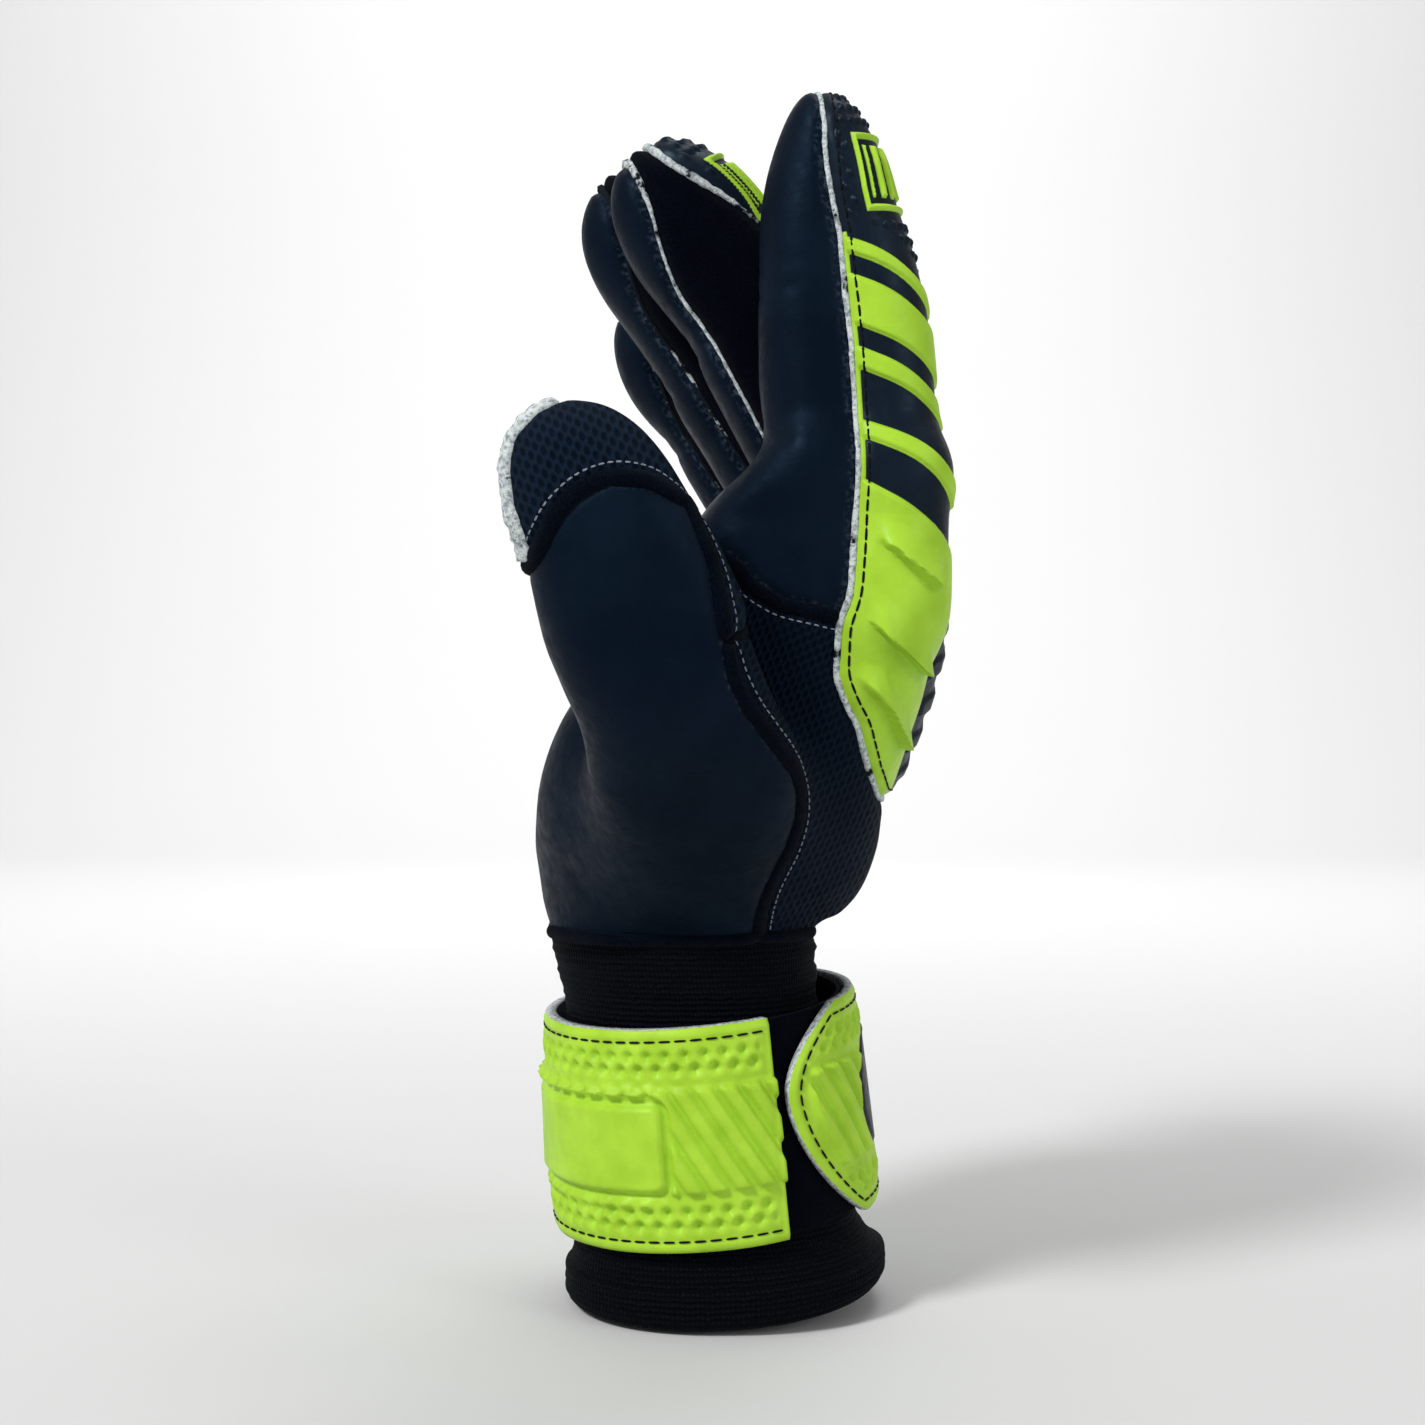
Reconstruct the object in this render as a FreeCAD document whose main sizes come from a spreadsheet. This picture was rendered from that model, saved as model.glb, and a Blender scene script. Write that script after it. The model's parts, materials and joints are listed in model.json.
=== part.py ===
"""A right-hand goalkeeper glove with finger spines and a wrap-round wrist strap, in millimetres.

The glove stands on its cuff: +Z runs from the cuff to the fingertips, +X is the back of the hand,
-X the palm, -Y the thumb side and +Y the little finger's side. The origin is the centre of the
cuff's lower opening. Each finger is a chain of two stiff segments, and a soft sleeve of the same
fabric joins them at each knuckle.
"""
import FreeCAD, Part
import math
import os
import Sketcher

Vector = FreeCAD.Vector
Rotation = FreeCAD.Rotation
Placement = FreeCAD.Placement

FINGERS = ("index", "middle", "ring", "little")
ROLL_SIDE = {"index": -1, "middle": 0, "ring": 0, "little": 1}
HAND_LEVELS = ("wrist", "heel", "thenar", "palm", "knuckle", "top")
CUFF_LEVELS = ("cuff_low", "cuff_waist", "cuff_mid", "cuff_neck", "cuff_top")
FAR = 200.0

# Every driving dimension. Angles are in degrees, lengths in millimetres.
SIZES = {
    # walls
    "latex_wall": 4.0, "cuff_wall": 2.2, "hem_wall": 3.2,
    "lining_face": 4.3, "pad_depth": 7.3, "stay_depth": 6.5,
    # the hand's sections: height, centre along X, then size along X, size along Y and corner radius
    "wrist_z": 88.0, "wrist_x": -10.0, "wrist_thick": 60.0, "wrist_width": 66.0, "wrist_corner": 28.0,
    "heel_z": 96.0, "heel_x": -5.5, "heel_thick": 71.0, "heel_width": 76.0, "heel_corner": 32.0,
    "thenar_z": 108.0, "thenar_x": -2.5, "thenar_thick": 74.0, "thenar_width": 88.0, "thenar_corner": 33.0,
    "palm_z": 125.0, "palm_x": 2.5, "palm_thick": 76.0, "palm_width": 98.0, "palm_corner": 28.0,
    "knuckle_z": 146.0, "knuckle_x": 11.0, "knuckle_thick": 66.0, "knuckle_width": 103.0,
    "knuckle_corner": 22.0, "knuckle_turn": 4.0,
    "top_z": 168.0, "top_x": 17.0, "top_thick": 44.0, "top_width": 103.4, "top_corner": 10.0,
    "top_turn": 8.0, "hollow_top_z": 164.0,
    # where the hand's panels meet
    "palm_edge_x": 10.0, "back_edge_x": 24.0, "back_point_z": 113.0,
    "pad_low_z": 116.0, "pad_high_z": 142.0, "pad_half_width": 30.0,
    # the cuff's sections
    "cuff_low_z": 8.0, "cuff_low_x": 0.0, "cuff_low_thick": 71.2, "cuff_low_width": 68.0,
    "cuff_low_corner": 33.0,
    "cuff_waist_z": 20.0, "cuff_waist_x": -2.0, "cuff_waist_thick": 63.0, "cuff_waist_width": 62.0,
    "cuff_waist_corner": 30.0,
    "cuff_mid_z": 45.0, "cuff_mid_x": -4.5, "cuff_mid_thick": 60.4, "cuff_mid_width": 60.4,
    "cuff_mid_corner": 29.0,
    "cuff_neck_z": 70.0, "cuff_neck_x": -8.0, "cuff_neck_thick": 57.6, "cuff_neck_width": 61.0,
    "cuff_neck_corner": 27.5,
    "cuff_top_z": 84.0, "cuff_top_x": -10.0, "cuff_top_thick": 60.0, "cuff_top_width": 65.0,
    "cuff_top_corner": 28.0,
    "binding_height": 4.0,
    # the wrist strap: one ring in its own tilted frame, in layers measured inwards from the band's face
    "strap_x": -3.0, "strap_z": 45.0, "strap_tilt": 5.0, "strap_thick": 73.6, "strap_width": 72.0,
    "strap_corner": 35.0, "strap_height": 48.0, "band_depth": 3.2, "band_end_x": 15.6,
    "loop_face": 2.1, "hook_back": 1.1, "hook_face": 1.9, "tab_back": 1.0, "tab_outset": -1.2,
    "tab_root_x": 16.2, "tab_nose_x": 18.0, "tab_heel_x": 27.0, "tab_toe_x": 34.0,
    "tab_nose_z": 4.0, "hook_start_x": 24.0, "hook_height": 34.0,
    "tongue_height": 36.0, "tongue_half_width": 14.0,
    # finger joints: gap on each side of a hinge, and the wall and rounding of a finger
    "base_gap": 7.0, "mid_gap": 8.5, "finger_corner": 8.5, "gusset_half": 8.0,
    "index_y": -38.7, "index_x": 27.0, "index_z": 188.0, "index_width": 24.8, "index_thick": 33.0,
    "index_reach": 37.0, "index_tip": 40.0, "index_tilt": 3.0, "index_curl": 8.0,
    "middle_y": -12.9, "middle_x": 25.0, "middle_z": 188.0, "middle_width": 24.8, "middle_thick": 32.0,
    "middle_reach": 40.0, "middle_tip": 45.0, "middle_tilt": 28.0, "middle_curl": 38.0,
    "ring_y": 12.9, "ring_x": 21.5, "ring_z": 186.0, "ring_width": 24.8, "ring_thick": 31.0,
    "ring_reach": 39.0, "ring_tip": 50.0, "ring_tilt": 32.0, "ring_curl": 36.0,
    "little_y": 37.8, "little_x": 17.0, "little_z": 181.0, "little_width": 22.6, "little_thick": 28.0,
    "little_reach": 32.0, "little_tip": 36.0, "little_tilt": 32.0, "little_curl": 42.0,
    # how a fingertip closes: share of its length and share of its section
    "shoulder_at": 0.62, "shoulder_share": 0.95, "crown_at": 0.88, "crown_share": 0.74,
    "end_share": 0.42,
    # the finger spines
    "spine_width": 8.0, "spine_thick": 1.2, "rib_thick": 1.0, "rib_length": 2.4, "rib_pitch": 4.8,
    "spine_play": 0.9, "spine_share": 0.52, "stay_low_z": 143.5, "stay_high_z": 161.5,
    # the thumb: its two hinges and tip, and its root inside the hand
    "thumb_thick": 36.0, "thumb_width": 26.0, "thumb_corner": 12.0, "thumb_root_thick": 42.0,
    "thumb_root_x": -4.0, "thumb_root_y": -24.0, "thumb_root_z": 100.0,
    "thumb_base_x": -15.0, "thumb_base_y": -65.0, "thumb_base_z": 138.0,
    "thumb_mid_x": -22.0, "thumb_mid_y": -69.5, "thumb_mid_z": 168.0,
    "thumb_end_x": -33.0, "thumb_end_y": -71.0, "thumb_end_z": 197.0,
    "thumb_base_gap": 5.0, "thumb_mid_gap": 6.0, "thumb_seam": 2.0,
}

doc = FreeCAD.newDocument("goalkeeper_glove")
sheet = doc.addObject("Spreadsheet::Sheet", "sizes")
for row, (alias, number) in enumerate(SIZES.items(), start=1):
    sheet.set(f"A{row}", alias)
    sheet.set(f"B{row}", str(number))
    sheet.setAlias(f"B{row}", alias)
doc.recompute()

sub_parts = []


def cell(alias):
    """An expression that reads one cell of the sheet."""
    return f"sizes.{alias}"


def keep(piece, label):
    """Names a finished sub-part, so that it is written to parts/LABEL.step."""
    piece.Label = label
    sub_parts.append(piece)
    return piece


def put(piece, x="0", y="0", z="0", tilt=None, turn=None):
    """Binds a placement to the sheet. A tilt leans local Z towards the palm, a turn is about Z."""
    axis, angle = (Vector(0, -1, 0), tilt) if tilt else (Vector(0, 0, 1), turn)
    if angle:
        piece.Placement = Placement(Vector(), Rotation(axis, 1.0))
        piece.setExpression("Placement.Rotation.Angle", f"{angle} * 1 deg")
    piece.setExpression("Placement.Base.x", f"({x}) * 1 mm")
    piece.setExpression("Placement.Base.y", f"({y}) * 1 mm")
    piece.setExpression("Placement.Base.z", f"({z}) * 1 mm")
    return piece


def section(name, thick, width, corner, inset="", share=""):
    """A rounded rectangle about its own origin, thick along X and width along Y.

    The three sizes are names of cells. inset, a cell too, moves the outline inwards, and share, a
    cell or a number, scales it.
    """
    sketch = doc.addObject("Sketcher::SketchObject", name)
    scale = SIZES.get(share, 1.0)
    drop = SIZES.get(inset, 0.0)
    half_x = (SIZES[thick] / 2 - drop) * scale
    half_y = (SIZES[width] / 2 - drop) * scale
    radius = (SIZES[corner] - drop) * scale
    near_x = half_x - radius
    near_y = half_y - radius
    quarter = math.pi / 2
    corners = ((near_x, -near_y, -1), (near_x, near_y, 0), (-near_x, near_y, 1), (-near_x, -near_y, 2))
    sides = (
        ((-near_x, -half_y), (near_x, -half_y)),
        ((half_x, -near_y), (half_x, near_y)),
        ((near_x, half_y), (-near_x, half_y)),
        ((-half_x, near_y), (-half_x, -near_y)),
    )
    for side, (arc_x, arc_y, turn) in zip(sides, corners):
        start, end = (Vector(*point, 0) for point in side)
        sketch.addGeometry(Part.LineSegment(start, end))
        circle = Part.Circle(Vector(arc_x, arc_y, 0), Vector(0, 0, 1), radius)
        sketch.addGeometry(Part.ArcOfCircle(circle, turn * quarter, (turn + 1) * quarter))
    for edge in range(8):
        sketch.addConstraint(Sketcher.Constraint("Tangent", edge, 2, (edge + 1) % 8, 1))
    for edge in (0, 4):
        sketch.addConstraint(Sketcher.Constraint("Horizontal", edge))
    for edge in (2, 6):
        sketch.addConstraint(Sketcher.Constraint("Vertical", edge))
    for arc in (3, 5, 7):
        sketch.addConstraint(Sketcher.Constraint("Equal", 1, arc))
    sketch.addConstraint(Sketcher.Constraint("Symmetric", 1, 3, 5, 3, -1, 1))
    grow = cell(share) if share else "1"
    cut = f" - 2 * {cell(inset)}" if inset else ""
    half_cut = f" - {cell(inset)}" if inset else ""
    driving = (
        ("thick", Sketcher.Constraint("DistanceX", 6, 1, 2, 1, 2 * half_x), cell(thick) + cut),
        ("width", Sketcher.Constraint("DistanceY", 0, 1, 4, 1, 2 * half_y), cell(width) + cut),
        ("corner", Sketcher.Constraint("Radius", 1, radius), cell(corner) + half_cut),
    )
    for label, constraint, expression in driving:
        number = sketch.addConstraint(constraint)
        sketch.renameConstraint(number, label)
        sketch.setExpression(f"Constraints.{label}", f"({expression}) * {grow} * 1 mm")
    return sketch


def loft(name, sections, ruled=False):
    solid = doc.addObject("Part::Loft", name)
    solid.Sections = sections
    solid.Solid = True
    solid.Ruled = ruled
    return solid


def extrude(name, profile, length):
    solid = doc.addObject("Part::Extrusion", name)
    solid.Base = profile
    solid.DirMode = "Normal"
    solid.Solid = True
    solid.setExpression("LengthFwd", f"({length}) * 1 mm")
    return solid


def boolean(kind, name, base, tool):
    result = doc.addObject(f"Part::{kind}", name)
    result.Base = base
    result.Tool = tool
    return result


def block(name, low, high, frame=None):
    """A box between two corners, each three expressions. In a frame, the corners are plain numbers."""
    box = doc.addObject("Part::Box", name)
    for size, a, b in zip(("Length", "Width", "Height"), low, high):
        box.setExpression(size, f"(({b}) - ({a})) * 1 mm")
    if frame:
        box.Placement = Placement(frame.multVec(Vector(*low)), frame.Rotation)
        return box
    return put(box, *low)


def fuse(name, shapes):
    joined = doc.addObject("Part::MultiFuse", name)
    joined.Shapes = shapes
    return joined


# ---------------------------------------------------------------- hand

def level_section(prefix, level, inset=""):
    outline = section(f"{prefix}_{level}", f"{level}_thick", f"{level}_width", f"{level}_corner", inset)
    turn = cell(f"{level}_turn") if f"{level}_turn" in SIZES else None
    return put(outline, x=cell(f"{level}_x"), z=cell(f"{level}_z"), turn=turn)


def hand_loft(name, inset=""):
    return loft(name, [level_section(name, level, inset) for level in HAND_LEVELS], ruled=True)


def finger_core(finger):
    """The hole a finger leaves in the closed top of the hand."""
    sizes = (f"{finger}_thick", f"{finger}_width", "finger_corner", "latex_wall")
    profile = section(f"{finger}_core_profile", *sizes)
    put(profile, finger_size(finger, "x"), finger_size(finger, "y"), cell("hollow_top_z"))
    return extrude(f"{finger}_core", profile, f"{cell('top_z')} - {cell('hollow_top_z')}")


def thumb_frame(origin, towards):
    """A placement at origin whose Z axis runs towards a point, and whose Y axis has no X part."""
    along = (towards - origin).normalize()
    lean = math.degrees(math.atan2(-along.y, along.z))
    tilt = math.degrees(math.asin(-along.x))
    turned = Rotation(Vector(1, 0, 0), lean) * Rotation(Vector(0, 1, 0), -tilt)
    return Placement(origin, turned)


def thumb_point(name):
    return Vector(*(sheet.get(f"thumb_{name}_{axis}") for axis in "xyz"))


def thumb_section(name, thick, frame, along, inset="", share=""):
    outline = section(name, thick, "thumb_width", "thumb_corner", inset, share)
    outline.Placement = Placement(frame.multVec(Vector(0, 0, along)), frame.Rotation)
    return outline


def build_hand():
    """The hand's panels, cut from one shell that is open at the wrist, the fingers and the thumb."""
    outer = hand_loft("hand_outer")
    below_top = block("below_top", (-FAR, -FAR, 0), (FAR, FAR, cell("hollow_top_z")))
    inner = boolean("Common", "hand_inner", hand_loft("hand_inner_whole", "latex_wall"), below_top)
    root_outer, root_inner = thumb_root_lofts()
    hollows = fuse("hollows", [inner, root_inner, *(finger_core(finger) for finger in FINGERS)])
    opened = boolean("Cut", "hand_shell", outer, hollows)
    palm_side = block("palm_side", (-FAR, -FAR, 0), (cell("palm_edge_x"), FAR, FAR))
    keep(boolean("Common", "palm_piece", opened, palm_side), "palm_latex")
    back_side = block("back_side", (cell("back_edge_x"), -FAR, cell("back_point_z")), (FAR, FAR, FAR))
    keep(boolean("Common", "back_piece", opened, back_side), "back_panel")
    for label, low_y, high_y in (("thumb_side_mesh", -FAR, 0), ("little_side_mesh", 0, FAR)):
        low = (cell("palm_edge_x"), low_y, 0)
        side = block(f"{label}_side", low, (FAR, high_y, FAR))
        rough = boolean("Common", f"{label}_rough", opened, side)
        keep(boolean("Cut", f"{label}_piece", rough, back_side), label)
    lining = boolean("Common", "lining", hand_loft("lining_whole", "lining_face"), below_top)
    padded = boolean("Cut", "pad_shell", lining, hand_loft("pad_core", "pad_depth"))
    half = cell("pad_half_width")
    pad_low = (cell("back_edge_x"), f"-{half}", cell("pad_low_z"))
    pad_side = block("pad_side", pad_low, (FAR, half, cell("pad_high_z")))
    keep(boolean("Common", "pad_piece", padded, pad_side), "backhand_pad")
    lined = boolean("Cut", "stay_shell", lining, hand_loft("stay_core", "stay_depth"))
    stays = fuse("stay_sides", [stay_block(finger) for finger in FINGERS])
    keep(boolean("Common", "stay_piece", lined, stays), "spine_roots")
    root_shell = boolean("Cut", "thumb_root_shell", root_outer, root_inner)
    keep(boolean("Cut", "thumb_root_piece", root_shell, outer), "thumb_root_latex")


def stay_block(finger):
    """Where the fixed root of a finger's spine lies, against the inside of the back panel."""
    middle = cell(f"{finger}_y")
    half = f"{cell('spine_width')} / 2"
    low = (cell("back_edge_x"), f"{middle} - {half}", cell("stay_low_z"))
    high = (FAR, f"{middle} + {half}", cell("stay_high_z"))
    return block(f"{finger}_stay_block", low, high)


def thumb_root_lofts():
    """The thumb's root, from inside the hand out to the first hinge: outer and inner solids."""
    start = thumb_frame(thumb_point("root"), thumb_point("base"))
    base = thumb_frame(thumb_point("base"), thumb_point("mid"))
    gap = sheet.get("thumb_base_gap")
    lofts = []
    for side, inset in (("outer", ""), ("inner", "latex_wall")):
        name = f"thumb_root_{side}"
        low = thumb_section(f"{name}_low", "thumb_root_thick", start, 0, inset)
        high = thumb_section(f"{name}_high", "thumb_thick", base, -gap, inset)
        lofts.append(loft(name, [low, high], ruled=True))
    return lofts


# ---------------------------------------------------------------- cuff and strap

def build_cuff():
    sides = []
    for side, inset in (("outer", ""), ("inner", "cuff_wall")):
        name = f"cuff_{side}"
        sides.append(loft(name, [level_section(name, level, inset) for level in CUFF_LEVELS], ruled=True))
    keep(boolean("Cut", "cuff_piece", *sides), "cuff_sleeve")
    rims = []
    for side, inset in (("outer", ""), ("inner", "hem_wall")):
        profile = section(f"hem_{side}_profile", "cuff_low_thick", "cuff_low_width", "cuff_low_corner", inset)
        rims.append(extrude(f"hem_{side}", profile, cell("cuff_low_z")))
    keep(boolean("Cut", "hem_piece", *rims), "cuff_hem")
    bands = []
    for side, inset in (("outer", ""), ("inner", "hem_wall")):
        name = f"binding_{side}"
        profile = section(f"{name}_profile", "wrist_thick", "wrist_width", "wrist_corner", inset)
        put(profile, x=cell("wrist_x"), z=cell("cuff_top_z"))
        bands.append(extrude(name, profile, cell("binding_height")))
    keep(boolean("Cut", "binding_piece", *bands), "wrist_binding")


def strap_layer(name, face, back, height):
    """One layer of the wrist strap's ring, between two depths below the band's face."""
    rings = []
    for side, inset in (("outer", face), ("inner", back)):
        profile = section(f"{name}_{side}_profile", "strap_thick", "strap_width", "strap_corner", inset)
        put(profile, z=f"-{height} / 2")
        rings.append(extrude(f"{name}_{side}", profile, height))
    return boolean("Cut", f"{name}_ring", *rings)


def place_strap(piece):
    return put(piece, x=cell("strap_x"), z=cell("strap_z"), tilt=cell("strap_tilt"))


def tab_prism():
    """What the closure tab keeps of its ring on the thumb side: a nose that runs down to a toe."""
    half = SIZES["strap_height"] / 2
    half_height = f"{cell('strap_height')} / 2"
    corners = (
        (SIZES["tab_heel_x"], half, cell("tab_heel_x"), half_height),
        (SIZES["tab_nose_x"], SIZES["tab_nose_z"], cell("tab_nose_x"), cell("tab_nose_z")),
        (SIZES["tab_toe_x"], -half, cell("tab_toe_x"), half_height),
        (FAR, -half, FAR, half_height),
        (FAR, half, FAR, half_height),
    )
    sketch = doc.addObject("Sketcher::SketchObject", "tab_outline")
    sketch.Placement = Placement(Vector(), Rotation(Vector(1, 0, 0), 90))
    count = len(corners)
    for number in range(count):
        start, end = (Vector(*corners[k % count][:2], 0) for k in (number, number + 1))
        sketch.addGeometry(Part.LineSegment(start, end))
    for number in range(count):
        sketch.addConstraint(Sketcher.Constraint("Coincident", number, 2, (number + 1) % count, 1))
    for number, (x, z, bound_x, bound_z) in enumerate(corners):
        across = sketch.addConstraint(Sketcher.Constraint("DistanceX", -1, 1, number, 1, x))
        up = sketch.addConstraint(Sketcher.Constraint("DistanceY", -1, 1, number, 1, z))
        sign = "-" if z < 0 else ""
        for constraint, label, bound in ((across, "x", bound_x), (up, "z", f"{sign}({bound_z})")):
            sketch.renameConstraint(constraint, f"{label}_{number}")
            sketch.setExpression(f"Constraints.{label}_{number}", f"({bound}) * 1 mm")
    return extrude("tab_prism", sketch, FAR)


def sewn_tongue():
    """The part of the band that is sewn down to the cuff, in the middle of the palm side."""
    profile = section("tongue_profile", "strap_thick", "strap_width", "strap_corner", "band_depth")
    put(profile, z=f"-{cell('tongue_height')} / 2")
    bore = place_strap(extrude("tongue_bore", profile, cell("tongue_height")))
    around = boolean("Cut", "tongue_ring", bore, doc.getObject("cuff_outer"))
    half = cell("tongue_half_width")
    palm_side = block("tongue_side", (-FAR, f"-{half}", 0), (cell("strap_x"), half, FAR))
    return boolean("Common", "tongue_piece", around, palm_side)


def build_strap():
    height = cell("strap_height")
    half = f"{height} / 2"
    band_side = block("band_side", (-FAR, -FAR, f"-{half}"), (cell("band_end_x"), FAR, half))
    band = strap_layer("band", "", "band_depth", height)
    band_part = place_strap(boolean("Common", "band_part", band, band_side))
    keep(fuse("band_piece", [band_part, sewn_tongue()]), "strap_band")
    loop = strap_layer("loop", "loop_face", "band_depth", height)
    keep(place_strap(boolean("Cut", "loop_piece", loop, band_side)), "strap_loop_strip")
    tab = strap_layer("tab", "tab_outset", "tab_back", height)
    root_side = block("tab_root_side", (cell("tab_root_x"), 0, f"-{half}"), (FAR, FAR, half))
    prism = tab_prism()
    tab_side = fuse("tab_side", [root_side, prism])
    keep(place_strap(boolean("Common", "tab_piece", tab, tab_side)), "closure_strap")
    hook = strap_layer("hook", "hook_back", "hook_face", cell("hook_height"))
    hook_side = block("hook_side", (cell("hook_start_x"), -FAR, -FAR), (FAR, 0, FAR))
    trimmed = boolean("Common", "hook_trimmed", hook, hook_side)
    keep(place_strap(boolean("Common", "hook_piece", trimmed, prism)), "hook_patch")


# ---------------------------------------------------------------- fingers

def finger_size(finger, name):
    return cell(f"{finger}_{name}")


def frame_of(finger, segment):
    """Where a segment's hinge is, and its tilt, as expressions for put()."""
    x, y, z = (finger_size(finger, axis) for axis in "xyz")
    if segment == "lower":
        return {"x": x, "y": y, "z": z, "tilt": finger_size(finger, "tilt")}
    reach = finger_size(finger, "reach")
    angle = f"{finger_size(finger, 'tilt')} * 1 deg"
    return {
        "x": f"{x} - {reach} * sin({angle})",
        "y": y,
        "z": f"{z} + {reach} * cos({angle})",
        "tilt": finger_size(finger, "curl"),
    }


def finger_section(name, finger, along, inset="", share=""):
    outline = section(name, f"{finger}_thick", f"{finger}_width", "finger_corner", inset, share)
    return put(outline, z=along)


def segment_shell(finger, segment):
    """A finger segment's shell in its own frame, with the hinge at the origin and Z along the finger."""
    name = f"{finger}_{segment}"
    solids = []
    for side, inset in (("outer", ""), ("inner", "latex_wall")):
        label = f"{name}_{side}"
        if segment == "lower":
            length = f"{finger_size(finger, 'reach')} - {cell('mid_gap')}"
            stops = ((cell("base_gap"), ""), (length, ""))
        else:
            tip = finger_size(finger, "tip")
            wall = f" - {cell('latex_wall')}" if inset else ""
            stops = (
                (cell("mid_gap"), ""),
                (f"{tip} * {cell('shoulder_at')}{wall} / 2", "shoulder_share"),
                (f"{tip} * {cell('crown_at')}{wall}", "crown_share"),
                (f"{tip}{wall}", "end_share"),
            )
        outlines = [
            finger_section(f"{label}_{number}", finger, along, inset, share)
            for number, (along, share) in enumerate(stops)
        ]
        solids.append(loft(label, outlines, ruled=len(stops) == 2))
    return boolean("Cut", f"{name}_shell", *solids)


def gusset_regions(finger, name):
    """The side strips between the palm and the back, on each side where the latex isn't rolled."""
    half = cell("gusset_half")
    regions = []
    for side in (-1, 1):
        if side == ROLL_SIDE[finger]:
            continue
        low_y, high_y = (-FAR, 0) if side < 0 else (0, FAR)
        regions.append(block(f"{name}_strip_{side + 1}", (f"-{half}", low_y, 0), (half, high_y, FAR)))
    return regions[0] if len(regions) == 1 else fuse(f"{name}_strips", regions)


def build_segment(finger, segment):
    name = f"{finger}_{segment}"
    frame = frame_of(finger, segment)
    shell = segment_shell(finger, segment)
    strips = gusset_regions(finger, name)
    keep(put(boolean("Common", f"{name}_gusset_piece", shell, strips), **frame), f"{name}_gusset")
    for label, low_x, high_x in (("palm", -FAR, 0), ("back", 0, FAR)):
        half = block(f"{name}_{label}_side", (low_x, -FAR, 0), (high_x, FAR, FAR))
        rough = boolean("Common", f"{name}_{label}_rough", shell, half)
        keep(put(boolean("Cut", f"{name}_{label}_piece", rough, strips), **frame), f"{name}_{label}")


def build_sleeve(finger, joint):
    """The soft sleeve over a knuckle, from the end of one piece to the start of the next."""
    name = f"{finger}_{joint}_sleeve"
    solids = []
    for side, inset in (("outer", ""), ("inner", "latex_wall")):
        sizes = (f"{finger}_thick", f"{finger}_width", "finger_corner", inset)
        low = section(f"{name}_{side}_low", *sizes)
        high = section(f"{name}_{side}_high", *sizes)
        if joint == "base":
            put(low, finger_size(finger, "x"), finger_size(finger, "y"), cell("top_z"))
            put_along(high, frame_of(finger, "lower"), cell("base_gap"))
        else:
            lower = frame_of(finger, "lower")
            put_along(low, lower, f"({finger_size(finger, 'reach')} - {cell('mid_gap')})")
            put_along(high, frame_of(finger, "upper"), cell("mid_gap"))
        solids.append(loft(f"{name}_{side}", [low, high], ruled=True))
    keep(boolean("Cut", f"{name}_piece", *solids), name)


def put_along(piece, frame, distance):
    """Places piece in a finger's frame, some distance along the finger."""
    angle = f"{frame['tilt']} * 1 deg"
    x = f"{frame['x']} - {distance} * sin({angle})"
    z = f"{frame['z']} + {distance} * cos({angle})"
    return put(piece, x, frame["y"], z, frame["tilt"])


# ---------------------------------------------------------------- spines

def rectangle(body, plane, low, high, names):
    """A rectangle sketch on one of the body's origin planes, its four edges bound to expressions."""
    sketch = body.newObject("Sketcher::SketchObject", f"{body.Name}_{plane}_outline")
    origin = [feature for feature in body.Origin.OriginFeatures if feature.Role == plane]
    sketch.AttachmentSupport = (origin[0], [""])
    sketch.MapMode = "FlatFace"
    (left, bottom), (right, top) = low, high
    corners = [Vector(left, bottom, 0), Vector(right, bottom, 0), Vector(right, top, 0), Vector(left, top, 0)]
    for number in range(4):
        sketch.addGeometry(Part.LineSegment(corners[number], corners[(number + 1) % 4]))
    for number in range(4):
        sketch.addConstraint(Sketcher.Constraint("Coincident", number, 2, (number + 1) % 4, 1))
    sketch.addConstraint(Sketcher.Constraint("Horizontal", 2))
    for edge in (1, 3):
        sketch.addConstraint(Sketcher.Constraint("Vertical", edge))
    sketch.addConstraint(Sketcher.Constraint("Symmetric", 0, 1, 0, 2, -2))
    driving = (
        ("across", Sketcher.Constraint("DistanceX", 0, 1, 0, 2, right - left)),
        ("start", Sketcher.Constraint("DistanceY", -1, 1, 0, 1, bottom)),
        ("length", Sketcher.Constraint("DistanceY", 0, 2, 1, 2, top - bottom)),
    )
    for (label, constraint), expression in zip(driving, names):
        number = sketch.addConstraint(constraint)
        sketch.renameConstraint(number, label)
        sketch.setExpression(f"Constraints.{label}", f"({expression}) * 1 mm")
    return sketch


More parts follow.
